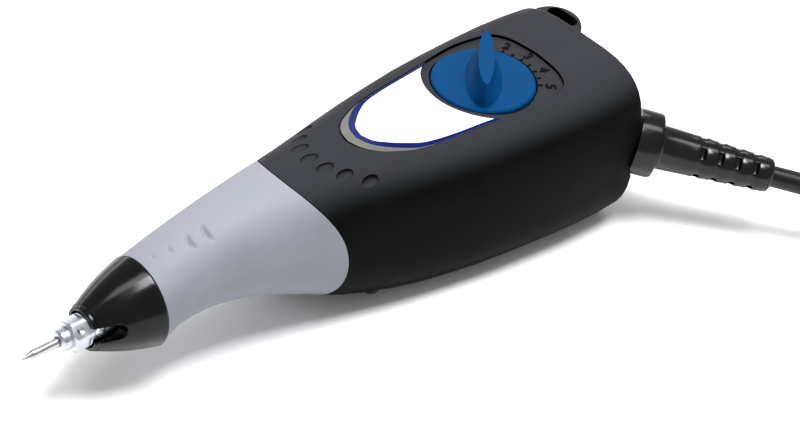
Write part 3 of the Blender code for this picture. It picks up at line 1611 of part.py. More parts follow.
def make_strain_relief():
    """One moulding on the cord: neck in the spout, collar and slotted sleeve."""
    collar = RELIEF_COLLAR_LENGTH
    end = collar + RELIEF_SLEEVE_LENGTH
    neck = -RELIEF_NECK_LENGTH
    profile = [
        (0, end),
        (RELIEF_END_RADIUS, end),
        (RELIEF_SLEEVE_RADIUS, collar),
        (RELIEF_COLLAR_RADIUS - RELIEF_COLLAR_CHAMFER, collar),
        (RELIEF_COLLAR_RADIUS, collar - RELIEF_COLLAR_CHAMFER),
        (RELIEF_COLLAR_RADIUS, FIT_GAP),
        (RELIEF_NECK_RADIUS, FIT_GAP),
        (RELIEF_NECK_RADIUS, neck),
        (0, neck),
    ]
    relief = turned(
        "strain_relief", profile, BLACK_RUBBER, place=entry_point(), axis=entry_direction(), sides=28
    )
    cut(relief, relief_slots())
    return relief


def relief_slots():
    """Slots on alternate sides of the sleeve, which let it bend."""
    meshes = []
    for index in range(RELIEF_SLOTS):
        along = RELIEF_COLLAR_LENGTH + RELIEF_SLOT_PITCH * (index + 1)
        share = (along - RELIEF_COLLAR_LENGTH) / RELIEF_SLEEVE_LENGTH
        radius = RELIEF_SLEEVE_RADIUS + (RELIEF_END_RADIUS - RELIEF_SLEEVE_RADIUS) * share
        wide = RELIEF_SLEEVE_RADIUS + CUT_OVERRUN
        mesh = box_mesh(
            (-wide, radius - RELIEF_SLOT_DEPTH, along),
            (wide, wide, along + RELIEF_SLOT_WIDTH),
        )
        mesh.transform(Matrix.Rotation(math.pi * (index % 2), 4, "Z"))
        meshes.append(mesh)
    mesh = merged_mesh(meshes)
    mesh.transform(towards(entry_direction()))
    return helper_of(mesh, "relief_slots", place=entry_point())


def tube(name, points, radius, finish_material, resolution=2, parent=ROOT):
    """A round tube along the points, with its ends closed."""
    curve = bpy.data.curves.new(name, "CURVE")
    curve.dimensions = "3D"
    curve.bevel_depth = radius
    curve.bevel_resolution = resolution
    curve.use_fill_caps = True
    spline = curve.splines.new("POLY")
    spline.points.add(len(points) - 1)
    for target, point in zip(spline.points, points):
        target.co = (*point, 1.0)
    guide = bpy.data.objects.new(name + "_line", curve)
    mesh = bpy.data.meshes.new_from_object(guide)
    bpy.data.objects.remove(guide, do_unlink=True)
    made = bmesh.new()
    made.from_mesh(mesh)
    bmesh.ops.remove_doubles(made, verts=made.verts, dist=WELD_DISTANCE)
    bmesh.ops.recalc_face_normals(made, faces=made.faces)
    made.to_mesh(mesh)
    made.free()
    return part_of(mesh, name, finish_material, parent=parent)


def bent(start, start_way, end, end_way, reach, count):
    """Points of one smooth bend that leaves the start along start_way and reaches the end along end_way."""
    first = start + start_way * reach
    last = end - end_way * reach
    points = []
    for index in range(count):
        t = index / (count - 1)
        points.append(
            (1 - t) ** 3 * start + 3 * (1 - t) ** 2 * t * first + 3 * (1 - t) * t**2 * last + t**3 * end
        )
    return points


def tail_ends():
    """Where the cord's jacket starts behind the relief, and where it is stripped."""
    start = entry_point() - entry_direction() * (RELIEF_NECK_LENGTH + FIT_GAP)
    return start, start - entry_direction() * TAIL_RUN


def splice_back():
    return CORE_BACK + SPLICE_SETBACK + SPLICE_LENGTH


def make_wiring():
    """The stripped cord inside the housing, two line leads, two splices and two coil leads."""
    start, end = tail_ends()
    tube("cord_tail", [start, end], CORD_DIAMETER / 2, CORD_VINYL)
    inward = -entry_direction()
    aside = inward.cross(Vector((0, 0, 1))).normalized()
    forward = Vector((-1, 0, 0))
    flange_back = bobbin_bounds()[1] + FIT_GAP
    coil_side = CORE_HALF_WIDTH + CORE_WINDOW / 2
    for name, side in (("near", -1), ("far", 1)):
        lead_start = end + inward * RUNNING_GAP + aside * side * LEAD_SPREAD
        middle = Vector((0, side * SPLICE_SPREAD, -SPLICE_DEPTH))
        back = middle + Vector((splice_back(), 0, 0))
        front = middle + Vector((splice_back() - SPLICE_LENGTH, 0, 0))
        points = bent(lead_start, inward, back - forward * FIT_GAP, forward, SPLICE_LENGTH / 4, 10)
        tube("line_lead_" + name, points, LEAD_RADIUS, LEAD_VINYL)
        part_of(rod_mesh(back, front, SPLICE_RADIUS, sides=18), "splice_" + name, SPLICE_NYLON)
        coil_end = Vector((flange_back, side * coil_side, core_middle()))
        points = bent(front + forward * FIT_GAP, forward, coil_end, forward, SPLICE_SETBACK / 2, 10)
        tube("coil_lead_" + name, points, LEAD_RADIUS, COPPER)


# Cord, its coil and the plug, laid on the floor after the pen is seated


def coil_radius(turns):
    """Radius of the coil after so many turns: in over the first layer, out over the next, and so on."""
    pitch = CORD_DIAMETER + COIL_LOOP_GAP
    inner = abs(turns % (2 * COIL_LAYER_TURNS) - COIL_LAYER_TURNS)
    return COIL_MIDDLE_DIAMETER / 2 + pitch * (inner - COIL_LAYER_TURNS / 2)


def climbed(turns, start, span):
    """Share of a climb that begins after so many turns and takes a span of them."""
    past = min(max((turns - start) / span, 0.0), 1.0)
    return (1 - math.cos(math.pi * past)) / 2


def coil_top():
    """Height of the coil's upper side."""
    layers = (COIL_LAYERS - 1) * (CORD_DIAMETER + COIL_LOOP_GAP)
    return COIL_TIE_THICKNESS + FIT_GAP + CORD_DIAMETER + layers


def coil_height(turns):
    """Height of the cord's middle: layer on layer, and last up to the middle of the plug."""
    low = CORD_DIAMETER / 2 + COIL_TIE_THICKNESS + FIT_GAP
    pitch = CORD_DIAMETER + COIL_LOOP_GAP
    height = low
    for layer in range(1, COIL_LAYERS):
        start = layer * COIL_LAYER_TURNS - COIL_CLIMB_TURNS / 2
        height += pitch * climbed(turns, start, COIL_CLIMB_TURNS)
    end = coil_top() + FIT_GAP + PLUG_HEIGHT / 2
    rise = end - low - pitch * (COIL_LAYERS - 1)
    start = COIL_LAYERS * COIL_LAYER_TURNS - COIL_END_CLIMB_TURNS
    return height + rise * climbed(turns, start, COIL_END_CLIMB_TURNS)


def route_way():
    return Vector((math.cos(CORD_ROUTE_TURN), math.sin(CORD_ROUTE_TURN), 0))


def relief_end():
    """The end of the strain relief and its direction, in world axes."""
    turn = ROOT.matrix_world.to_3x3()
    reach = RELIEF_COLLAR_LENGTH + RELIEF_SLEEVE_LENGTH + FIT_GAP
    point = ROOT.matrix_world @ (entry_point() + entry_direction() * reach)
    return point, turn @ entry_direction()


def coil_start():
    """Where the free cord runs onto the coil."""
    point, _ = relief_end()
    way = route_way()
    aside = Vector((way.y, -way.x, 0))
    level = point + way * CORD_FREE_REACH + aside * CORD_SIDE_REACH
    return Vector((level.x, level.y, coil_height(0)))


def coil_centre():
    way = route_way()
    start = coil_start()
    return Vector((start.x, start.y, 0)) + Vector((-way.y, way.x, 0)) * coil_radius(0)


def coil_point(turns):
    """A point of the coil, which turns anticlockwise seen from above."""
    angle = CORD_ROUTE_TURN - math.pi / 2 + 2 * math.pi * turns
    out = Vector((math.cos(angle), math.sin(angle), 0))
    return coil_centre() + out * coil_radius(turns) + Vector((0, 0, coil_height(turns)))


def make_cord():
    """From the strain relief: straight, then down and onto the coil."""
    start, way = relief_end()
    run = start + way * CORD_STRAIGHT_RUN
    end = coil_start() - route_way() * (CORD_DIAMETER + FIT_GAP)
    bend = bent(run, way, end, route_way(), CORD_BEND_REACH, CORD_ROUTE_POINTS)
    points = [start, start + way * CORD_STRAIGHT_RUN / 2] + bend
    return tube("cord", points, CORD_DIAMETER / 2, CORD_VINYL, resolution=3, parent=None)


def tail_turn():
    """The way the cord leaves the coil, as a turn about the vertical."""
    return CORD_ROUTE_TURN + 2 * math.pi * COIL_LAYERS * COIL_LAYER_TURNS


def coil_points():
    """The coil's line, straight for one diameter before it and for the plug's tail after it."""
    turns = COIL_LAYERS * COIL_LAYER_TURNS
    count = round(turns * COIL_TURN_POINTS)
    points = [coil_start() - route_way() * CORD_DIAMETER]
    points += [coil_point(turns * index / count) for index in range(count + 1)]
    last = points[-1]
    way = Vector((math.cos(tail_turn()), math.sin(tail_turn()), 0))
    return points + [last + way * COIL_TAIL_LENGTH / 2, last + way * COIL_TAIL_LENGTH]


def least_gap(points, radius):
    """The least gap of a tube to itself, past its own neighbours."""
    skip = COIL_TURN_POINTS // 3
    least = math.inf
    for index, point in enumerate(points):
        for other in range(index + skip, len(points) - 1):
            least = min(least, segment_distance(point, points[other], points[other + 1]))
    return least - 2 * radius


def segment_distance(point, start, end):
    along = end - start
    share = min(max((point - start).dot(along) / along.length_squared, 0.0), 1.0)
    return (point - start - along * share).length


def make_cord_coil():
    """Returns the end of the coil's tail, where the plug goes."""
    points = coil_points()
    print("least gap between the coil's loops, mm:", round(1000 * least_gap(points, CORD_DIAMETER / 2), 2))
    tube("cord_coil", points, CORD_DIAMETER / 2, CORD_VINYL, resolution=1, parent=None)
    return points[-1]


def make_coil_tie():
    """A strap round all the turns."""
    turn = CORD_ROUTE_TURN + math.pi
    middle = COIL_MIDDLE_DIAMETER / 2
    half_width = coil_radius(0) - middle + CORD_DIAMETER / 2 + FIT_GAP
    top = coil_top() + FIT_GAP
    bottom = COIL_TIE_THICKNESS
    centre = (top + bottom) / 2
    half_height = (top - bottom) / 2
    rings = []
    for side, out in ((-1, 0), (-1, COIL_TIE_THICKNESS), (1, COIL_TIE_THICKNESS), (1, 0)):
        ring = []
        for quarter, (side_r, side_z) in enumerate(((1, 1), (-1, 1), (-1, -1), (1, -1))):
            for index in range(4):
                angle = math.pi / 2 * (quarter + index / 3)
                corner = COIL_TIE_CORNER
                r = side_r * (half_width - corner) + (corner + out) * math.cos(angle)
                z = side_z * (half_height - corner) + (corner + out) * math.sin(angle)
                ring.append(Vector((middle + r, side * COIL_TIE_WIDTH / 2, centre + z)))
        rings.append(ring)
    mesh = mesh_from(lambda made: skin_rings(made, rings, closed=True))
    mesh.transform(Matrix.Translation(coil_centre()) @ Matrix.Rotation(turn, 4, "Z"))
    return part_of(mesh, "coil_tie", BLACK_NYLON, parent=None)


def make_plug(start):
    """A two-blade plug that lies on the coil."""
    way = Vector((math.cos(tail_turn()), math.sin(tail_turn()), 0))
    turn = Matrix.Translation(start + way * FIT_GAP) @ Matrix.Rotation(tail_turn(), 4, "Z")
    rings = [plug_ring(*station) for station in plug_stations()]
    mesh = mesh_from(lambda made: skin_rings(made, rings))
    mesh.transform(turn)
    part_of(mesh, "plug_body", BLACK_RUBBER, parent=None)
    face = PLUG_NECK_LENGTH + PLUG_LENGTH
    for name, side in (("plug_blade_left", 1), ("plug_blade_right", -1)):
        y = side * BLADE_SPREAD / 2
        blade = box_mesh(
            (face + FIT_GAP, y - BLADE_THICKNESS / 2, -BLADE_WIDTH / 2),
            (face + FIT_GAP + BLADE_LENGTH, y + BLADE_THICKNESS / 2, BLADE_WIDTH / 2),
        )
        blade.transform(turn)
        part_of(blade, name, BRASS, parent=None)


def plug_stations():
    """(distance, half width, half height) from the cord to the face of the plug."""
    neck = CORD_DIAMETER * PLUG_NECK_SHARE / 2
    side, rise = PLUG_WIDTH / 2, PLUG_HEIGHT / 2
    body = PLUG_NECK_LENGTH
    end = PLUG_NECK_LENGTH + PLUG_LENGTH
    stations = [(0, neck, neck), (body, neck * PLUG_NECK_SHARE, neck * PLUG_NECK_SHARE)]
    for along, wide, high in zip(PLUG_RING_SHARES, PLUG_SIDE_SHARES, PLUG_RISE_SHARES):
        stations.append((body + PLUG_LENGTH * along, side * wide, rise * high))
    stations.append((end - SMALL_EDGE, side, rise))
    stations.append((end, side - SMALL_EDGE, rise - SMALL_EDGE))
    return stations


def plug_ring(x, half_y, half_z):
    """A squarish ring across the plug."""
    ring = []
    for index in range(24):
        turn = 2 * math.pi * index / 24
        y = half_y * signed_power(math.cos(turn), 2 / PLUG_SQUARENESS)
        z = half_z * signed_power(math.sin(turn), 2 / PLUG_SQUARENESS)
        ring.append(Vector((x, y, z)))
    return ring


# Assembly


def seat_on_floor():
    """Sets the pen on the floor, with the bottom centre of its bounds at the origin."""
    bpy.context.view_layer.update()
    graph = bpy.context.evaluated_depsgraph_get()
    low = Vector((math.inf,) * 3)
    high = -low
    for obj in PEN.objects:
        if obj.type != "MESH":
            continue
        solid = obj.evaluated_get(graph)
        mesh = solid.to_mesh()
        for vertex in mesh.vertices:
            point = solid.matrix_world @ vertex.co
            low = Vector(map(min, low, point))
            high = Vector(map(max, high, point))
        solid.to_mesh_clear()
    ROOT.location = (-(low.x + high.x) / 2, -(low.y + high.y) / 2, -low.z)
    bpy.context.view_layer.update()


def main():
    make_top_shell()
    make_bottom_cover()
    make_cover_screws()
    make_label()
    make_grip()
    make_nose_cone()
    make_barrel()
    make_bushing()

    hammer = empty("hammer_slide", (0, 0, 0), ROOT)
    make_chuck(hammer)
    make_drive_rod(hammer)
    make_rod_nuts(hammer)
    make_set_screw(empty("set_screw_axis", set_screw_place(), hammer))
    make_bit(empty("bit_slide", (0, 0, 0), hammer))

    hinge = empty("armature_hinge", pivot_place(), ROOT)
    make_armature(hinge)
    make_leaf_spring(hinge)
    make_bracket()
    make_bracket_screws()
    make_core()
    make_rivets()
    make_bobbin()
    make_winding()

    axis = empty("dial_axis", (DIAL_X, 0, DIAL_TOP), ROOT)
    make_dial(axis)
    make_cam(axis)
    make_stop(empty("stop_slide", (0, 0, 0), ROOT))

    make_strain_relief()
    make_wiring()
    seat_on_floor()

    make_cord()
    make_coil_tie()
    make_plug(make_cord_coil())


main()
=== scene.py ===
"""Looks of an electric engraving pen: studio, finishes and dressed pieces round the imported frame.

Most pieces are shaped in the pen's own axes, x from the point of the bit to the rear, y to the side
away from the cord, z to the dial, and are then laid down with the pen. Lengths are in metres.
"""

import logging
import math
from collections.abc import Callable, Iterator, Sequence
from contextlib import contextmanager
from dataclasses import dataclass
from enum import Enum

import bmesh
import bpy
from mathutils import Matrix, Vector


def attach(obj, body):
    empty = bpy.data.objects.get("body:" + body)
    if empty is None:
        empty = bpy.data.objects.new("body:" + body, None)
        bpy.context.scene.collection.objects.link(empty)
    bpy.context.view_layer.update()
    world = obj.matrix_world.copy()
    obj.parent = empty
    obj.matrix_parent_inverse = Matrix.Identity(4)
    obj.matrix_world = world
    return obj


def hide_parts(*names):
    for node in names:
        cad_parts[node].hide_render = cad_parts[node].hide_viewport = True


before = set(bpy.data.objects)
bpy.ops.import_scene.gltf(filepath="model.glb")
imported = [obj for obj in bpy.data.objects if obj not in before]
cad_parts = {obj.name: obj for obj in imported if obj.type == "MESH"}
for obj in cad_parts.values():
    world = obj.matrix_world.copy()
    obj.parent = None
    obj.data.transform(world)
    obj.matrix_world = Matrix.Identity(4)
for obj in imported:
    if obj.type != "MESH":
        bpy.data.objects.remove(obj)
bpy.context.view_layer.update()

log = logging.getLogger("engraving_pen")

Piece = bpy.types.Object
Tree = bpy.types.NodeTree
Socket = bpy.types.NodeSocket
Pair = tuple[float, float]
Triple = tuple[float, float, float]
Row = tuple[float, ...]
Outline = Sequence[Pair]

MM = 0.001
LYING_PITCH = math.radians(4.2)
LAID_DOWN = Matrix.Translation((-0.108375, 0.012444, 0.019104)) @ Matrix.Rotation(-LYING_PITCH, 4, "Y")

# Selecting and shaping


class Part(Enum):
    """Parts of a mesh that can be selected, by Blender's names for them."""

    FACE = "FACE"
    EDGE = "EDGE"
    POINT = "VERT"


def deselect_all() -> None:
    """Leaves edit mode and selects nothing, so that an operator acts on its own piece alone."""
    if bpy.context.object is not None and bpy.context.object.mode != "OBJECT":
        bpy.ops.object.mode_set(mode="OBJECT")
    bpy.ops.object.select_all(action="DESELECT")


def take_up(obj: Piece) -> None:
    """Makes one piece the only selected one.

    Args:
        obj: The piece.
    """
    deselect_all()
    obj.select_set(True)
    bpy.context.view_layer.objects.active = obj


@contextmanager
def editing(obj: Piece) -> Iterator[None]:
    """Edit mode on one piece, with all of it selected at first.

    Args:
        obj: The piece.

    Yields:
        Nothing, once the piece is in edit mode.
    """
    take_up(obj)
    bpy.ops.object.mode_set(mode="EDIT")
    bpy.ops.mesh.select_all(action="SELECT")
    yield
    bpy.ops.object.mode_set(mode="OBJECT")


def select_parts(obj: Piece, part: Part, wanted: Callable[..., bool]) -> None:
    """Selects parts of a mesh by their place or normal, in edit mode.

    Args:
        obj: The piece, in edit mode.
        part: Which parts.
        wanted: Says whether one of them is selected.
    """
    bpy.ops.mesh.select_mode(type=part.value)
    bpy.ops.mesh.select_all(action="DESELECT")
    edited = bmesh.from_edit_mesh(obj.data)
    for item in {Part.FACE: edited.faces, Part.EDGE: edited.edges, Part.POINT: edited.verts}[part]:
        item.select_set(wanted(item))
    if part is Part.POINT:
        edited.select_flush(True)
    bmesh.update_edit_mesh(obj.data)


def add_primitive(name: str, adder: Callable[..., set[str]], **settings: object) -> Piece:
    """Adds a primitive or a text.

    Args:
        name: Its name.
        adder: The operator that adds it.
        settings: What the operator is told.

    Returns:
        The new piece.
    """
    deselect_all()
    adder(**settings)
    obj = bpy.context.object
    obj.name = name
    return obj


def draw_out(name: str, profile: Outline, sides: int) -> Piece:
    """Draws a round piece out along +Z, ring by ring, from a filled circle.

    Args:
        name: Name of the piece.
        profile: Height and radius of each ring.
        sides: Points round each ring.

    Returns:
        The piece, closed at both ends.
    """
    height, radius = profile[0]
    circle = {"vertices": sides, "radius": radius, "fill_type": "NGON", "location": (0, 0, height)}
    obj = add_primitive(name, bpy.ops.mesh.primitive_circle_add, **circle)
    with editing(obj):
        for next_height, next_radius in profile[1:]:
            bpy.ops.mesh.extrude_region_move(TRANSFORM_OT_translate={"value": (0, 0, next_height - height)})
            ratio = next_radius / radius
            bpy.ops.transform.resize(value=(ratio, ratio, 1), center_override=(0, 0, next_height))
            height, radius = next_height, next_radius
        bpy.ops.mesh.select_all(action="SELECT")
        bpy.ops.mesh.normals_make_consistent(inside=False)
    return obj


def rounded_block(name: str, centre: Vector, size: Vector, rounding: float, steps: int) -> Piece:
    """A cube primitive of the given size with all its edges rounded.

    Args:
        name: Name of the piece.
        centre: Its middle.
        size: Its full sizes.
        rounding: Radius of its edges.
        steps: Steps in each rounding.

    Returns:
        The block.
    """
    block = add_primitive(name, bpy.ops.mesh.primitive_cube_add, size=1, location=centre)
    with editing(block):
        bpy.ops.transform.resize(value=size, center_override=centre)
        bpy.ops.mesh.bevel(offset=rounding, segments=steps, affect="EDGES")
    return block


def apply_modifier(obj: Piece, kind: str, **settings: object) -> None:
    """Adds a modifier with its settings and applies it.

    Args:
        obj: The piece.
        kind: Blender's name of the modifier.
        settings: Its settings.
    """
    take_up(obj)
    modifier = obj.modifiers.new(kind.lower(), kind)
    for key, value in settings.items():
        setattr(modifier, key, value)
    bpy.ops.object.modifier_apply(modifier=modifier.name)


def round_edges(obj: Piece, width: float, degrees: float = 30, **settings: object) -> None:
    """Rounds the edges that are sharper than the angle, in two steps."""
    angle = math.radians(degrees)
    apply_modifier(obj, "BEVEL", width=width, segments=2, limit_method="ANGLE", angle_limit=angle, **settings)


def cut_with(obj: Piece, cutters: Sequence[Piece]) -> None:
    """Cuts other shapes out of a piece, which uses them up.

    Args:
        obj: The piece.
        cutters: The other shapes.
    """
    for cutter in cutters:
        apply_modifier(obj, "BOOLEAN", object=cutter, operation="DIFFERENCE", solver="EXACT")
        bpy.data.objects.remove(cutter, do_unlink=True)


def smooth(obj: Piece, degrees: float) -> None:
    """Shades a piece smooth, with edges sharper than the angle left crisp."""
    take_up(obj)
    bpy.ops.object.shade_smooth_by_angle(angle=math.radians(degrees))


def set_in_place(obj: Piece, place: Matrix = LAID_DOWN) -> Piece:
    """Moves a piece to its place, which is then in its mesh.

    Args:
        obj: The piece, shaped round its own axes.
        place: Where those axes are.

    Returns:
        The same piece, at the origin.
    """
    take_up(obj)
    bpy.ops.object.transform_apply(location=True, rotation=True, scale=True)
    obj.data.transform(place)
    obj.data.update()
    return obj


def dress(obj: Piece, finishes: "Sequence[Finish]", body: str, replaced: Sequence[str] = ()) -> None:
    """Gives a piece its finishes, its body and the CAD nodes that it stands for.

    Args:
        obj: The piece, in place.
        finishes: Its finishes, in the order of its material slots.
        body: The CAD body that it rides on.
        replaced: CAD nodes that it stands for.
    """
    for index, finish in enumerate(finishes):
        if index < len(obj.data.materials):
            obj.data.materials[index] = finish.material()
        else:
            obj.data.materials.append(finish.material())
    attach(obj, body)
    if replaced:
        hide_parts(*replaced)
    log.info("%s in %s, on %s", obj.name, finishes[0].name, body)


def welded_copy(node: str, name: str, degrees: float, rounding: float = 0.0) -> Piece:
    """A copy of a CAD node's mesh with its loose triangles welded and shaded smooth.

    Args:
        node: The CAD node.
        name: Name of the copy.
        degrees: Edges sharper than this stay crisp.
        rounding: Width of the rounding on crisp edges, if any.

    Returns:
        The copy, in place.
    """
    obj = bpy.data.objects.new(name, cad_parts[node].data.copy())
    bpy.context.scene.collection.objects.link(obj)
    with editing(obj):
        bpy.ops.mesh.remove_doubles(threshold=0.001 * MM)
        bpy.ops.mesh.customdata_custom_splitnormals_clear()
        bpy.ops.mesh.dissolve_limited(angle_limit=math.radians(0.5))
    if rounding:
        round_edges(obj, rounding, 40, miter_outer="MITER_ARC")
    smooth(obj, degrees)
    return obj


# Finishes


def linear(colour: str) -> tuple[float, float, float, float]:
    """Linear RGBA of an sRGB hex colour."""
    shares = [int(colour[i : i + 2], 16) / 255 for i in (1, 3, 5)]
    return (*[s / 12.92 if s <= 0.04045 else ((s + 0.055) / 1.055) ** 2.4 for s in shares], 1.0)


def add_node(
    tree: Tree,
    kind: str,
    settings: dict[str, object] | None = None,
    links: dict[str, Socket] | None = None,
) -> bpy.types.Node:
    """Adds a node, sets it and links its inputs.

    Args:
        tree: The node tree.
        kind: Blender's name of the node.
        settings: Values of its inputs and properties; "ramp" holds (position, hex colour) pairs.
        links: Sockets by the name of the input that each feeds.

    Returns:
        The node.
    """
    node = tree.nodes.new(kind)
    for name, value in (settings or {}).items():
        if name == "ramp":
            for stop, (position, colour) in zip(node.color_ramp.elements, value):
                stop.position = position
                stop.color = linear(colour)
        elif name in node.inputs:
            node.inputs[name].default_value = value
        else:
            setattr(node, name, value)
    for name, socket in (links or {}).items():
        tree.links.new(socket, node.inputs[name])
    return node


class Marks(Enum):
    """How the marks of its making run over a surface."""

    GRAINED = "grained"
    TURNED = "turned"
    DRAWN = "drawn"
    STACKED = "stacked"
    WOUND = "wound"
    WOVEN = "woven"


@dataclass(frozen=True)
class Finish:
    """What a piece is made of, and what its making left on it.

    Shades are the two colours between which it wanders, roughness its least and greatest, patch the
    size of the slow change, and grain and height the size and depth of the fine one, in millimetres.
    Shine and sheen are the shader's specular level and sheen weight. Painted top light, if any, is the
    colour painted on the faces that look up: painted light from above, paler the more a face looks up.
    """

    name: str
    slot: str
    shades: tuple[str, str]
    roughness: Pair
    patch: float
    grain: float
    height: float
    marks: Marks = Marks.GRAINED
    metallic: float = 0.0
    shine: float = 0.5
    sheen: float = 0.0
    painted_top_light: str = ""

    def material(self) -> bpy.types.Material:
        """The finish's material, made once and then shared."""
        made = bpy.data.materials.get(self.name)
        return made if made is not None else self.make()

    def make(self) -> bpy.types.Material:
        """Builds the nodes of the finish.

        Returns:
            The material.
        """
        made = bpy.data.materials.new(self.name)
        made.use_nodes = True
        tree = made.node_tree
        place = add_node(tree, "ShaderNodeTexCoord").outputs["Object"]
        patches = {"Scale": 1 / (self.patch * MM), "Detail": 3.0}
        slow = add_node(tree, "ShaderNodeTexNoise", patches, {"Vector": place}).outputs["Fac"]
        shades = {"ramp": ((0.35, self.shades[0]), (0.65, self.shades[1]))}
        colour = add_node(tree, "ShaderNodeValToRGB", shades, {"Fac": slow}).outputs["Color"]
        spread = {"From Min": 0.3, "From Max": 0.7, "To Min": self.roughness[0], "To Max": self.roughness[1]}
        roughness = add_node(tree, "ShaderNodeMapRange", spread, {"Value": slow}).outputs["Result"]
        depth = {"Strength": 1.0, "Distance": self.height * MM}
        bump = add_node(tree, "ShaderNodeBump", depth, {"Height": self.relief(tree, place)}).outputs["Normal"]
        shader = tree.nodes["Principled BSDF"]
        shader.inputs["Metallic"].default_value = self.metallic
        shader.inputs["Specular IOR Level"].default_value = self.shine
        shader.inputs["Sheen Weight"].default_value = self.sheen
        # Painted light: the faces that look up are mixed towards a paler colour, if the finish has one.
        tree.links.new(self.paint_top_light(tree, colour) if self.painted_top_light else colour, shader.inputs["Base Color"])
        tree.links.new(roughness, shader.inputs["Roughness"])
        tree.links.new(bump, shader.inputs["Normal"])
        return made

    def paint_top_light(self, tree: Tree, colour: Socket) -> Socket:
        """Paints light on the faces that look up: a painted sheen from above.

        Args:
            tree: The node tree.
            colour: The colour before the painted light.

        Returns:
            The socket of the colour with the painted light.
        """
        normal = add_node(tree, "ShaderNodeTexCoord").outputs["Normal"]
        upward = add_node(tree, "ShaderNodeSeparateXYZ", links={"Vector": normal}).outputs["Z"]
        # Painted light: the more a face looks up, from a slope of 0.35 to level, the more it takes the paler
        # colour.
        top_light_ramp = {"From Min": 0.35, "interpolation_type": "SMOOTHSTEP"}
        share = add_node(tree, "ShaderNodeMapRange", top_light_ramp, {"Value": upward}).outputs["Result"]
        unlit_mix = {"Fac": share, "Color1": colour}
        return add_node(tree, "ShaderNodeMixRGB", {"Color2": linear(self.painted_top_light)}, unlit_mix).outputs["Color"]

    def relief(self, tree: Tree, place: Socket) -> Socket:
        """Height of the fine marks.

        Args:
            tree: The node tree.
            place: Places on the piece.

        Returns:
            The height's socket.
        """
        noise = {"Scale": 1 / (self.grain * MM), "Detail": 2.0}
        if self.marks is Marks.GRAINED:
            noise["Roughness"] = 0.6
            return add_node(tree, "ShaderNodeTexNoise", noise, {"Vector": place}).outputs["Fac"]
        pitch = {"Rotation": (0, LYING_PITCH, 0)}
        along = add_node(tree, "ShaderNodeMapping", pitch, {"Vector": place}).outputs["Vector"]
        if self.marks is Marks.DRAWN:
            stretch = {"Scale": (0.04, 1.0, 1.0)}
            lengthwise = add_node(tree, "ShaderNodeMapping", stretch, {"Vector": along}).outputs["Vector"]
            return add_node(tree, "ShaderNodeTexNoise", noise, {"Vector": lengthwise}).outputs["Fac"]
        directions = {Marks.TURNED: "X", Marks.STACKED: "Y", Marks.WOUND: "X", Marks.WOVEN: "DIAGONAL"}
        # A wave's period is pi / 10 at scale 1.
        scale = math.pi / 10 / (self.grain * MM)
        wave = {"bands_direction": directions[self.marks], "Scale": scale, "Distortion": 0.6, "Detail": 1.0}
        return add_node(tree, "ShaderNodeTexWave", wave, {"Vector": along}).outputs["Fac"]


# Glass-filled nylon off a spark-eroded mould: a satin black, with painted light that greys the faces
# that look up, as a sheen from above would. Its grain is about 0.1 mm, and is drawn at 0.35 mm to show.
SPARKED_NYLON = Finish(
    "spark_textured_nylon", "black_nylon", ("#050605", "#080908"), (0.42, 0.52), 9, 0.35, 0.016,
    shine=0.02, painted_top_light="#2e2f33",
)
# The same nylon on the raised numerals: near black, without the painted light on the shell's top.
RAISED_NYLON = Finish(
    "plain_nylon_numerals", "black_nylon", ("#030303", "#050505"), (0.40, 0.48), 4, 0.35, 0.006, shine=0.04
)
# The same nylon off a polished mould, for the nose: a wet-looking black with soft streaks.
POLISHED_NYLON = Finish(
    "polished_black_nylon", "gloss_black", ("#030405", "#050607"), (0.15, 0.21), 5, 0.7, 0.003, shine=0.22
)
# Soft rubber moulded over the barrel: bluish grey and satin, paler on top by painted light from above.
GRIP_RUBBER = Finish(
    "overmoulded_grip_rubber", "grey_rubber", ("#73767d", "#7a7d84"), (0.50, 0.62), 12, 0.3, 0.006,
    shine=0.25, painted_top_light="#888b93",
)
# Blue ABS off a fine-blasted mould: satin and evenly blue.
BLUE_ABS = Finish(
    "moulded_blue_abs", "blue_plastic", ("#003763", "#003c6a"), (0.34, 0.44), 8, 0.3, 0.004, shine=0.03
)


def printed_film(ink: str, shades: tuple[str, str], shine: float) -> Finish:
    """Screen-printed polyester film, gloss laminated: a flat colour under a smooth film."""
    return Finish(f"printed_film_{ink}", "white_film", shades, (0.22, 0.30), 14, 0.6, 0.001, shine=shine)


FILM_WHITE = printed_film("white", ("#dededf", "#e4e4e6"), 0.15)
FILM_BLUE = printed_film("blue", ("#081350", "#0c1858"), 0.06)
FILM_GREY = printed_film("grey", ("#5e5e5a", "#666662"), 0.08)
# Die-cast and nickel-plated zinc: bright, a little lumpy, with a soft skin.
PLATED_ZINC = Finish(
    "plated_zinc_casting", "zinc", ("#b4b9bf", "#c6cad0"), (0.24, 0.36), 2.5, 0.5, 0.004, metallic=1.0
)
# Sintered carbide, ground to its point round its axis: bright grey, with fine rings.
GROUND_CARBIDE = Finish(
    "ground_carbide", "carbide_steel", ("#b2b2b4", "#c0c0c2"), (0.16, 0.26), 3, 0.18, 0.001, Marks.TURNED, 1.0
)
# Bright drawn steel: fine lines along the pen.
DRAWN_STEEL = Finish(
    "bright_drawn_steel", "steel", ("#a2a4a8", "#b4b6ba"), (0.22, 0.34), 4, 0.15, 0.002, Marks.DRAWN, 1.0
)
# The set screw, zinc plated: bright and a little blue.
PLATED_SCREW = Finish(
    "zinc_plated_screw", "steel", ("#dfe3e8", "#eceff3"), (0.12, 0.2), 3, 0.15, 0.001, metallic=1.0
)
# Screws of the cover, blacked in hot salts: near black, with a dull metal glint.
BLACKED_STEEL = Finish(
    "blacked_steel", "steel", ("#1c1c1e", "#262628"), (0.4, 0.5), 3, 0.2, 0.004, metallic=1.0
)
# Blued spring strip: dark, smooth, with rolling lines.
BLUED_STRIP = Finish(
    "blued_spring_strip", "spring_steel", ("#4b4f5c", "#5c606c"), (0.24, 0.34), 5, 0.12, 0.001,
    Marks.DRAWN, 1.0,
)
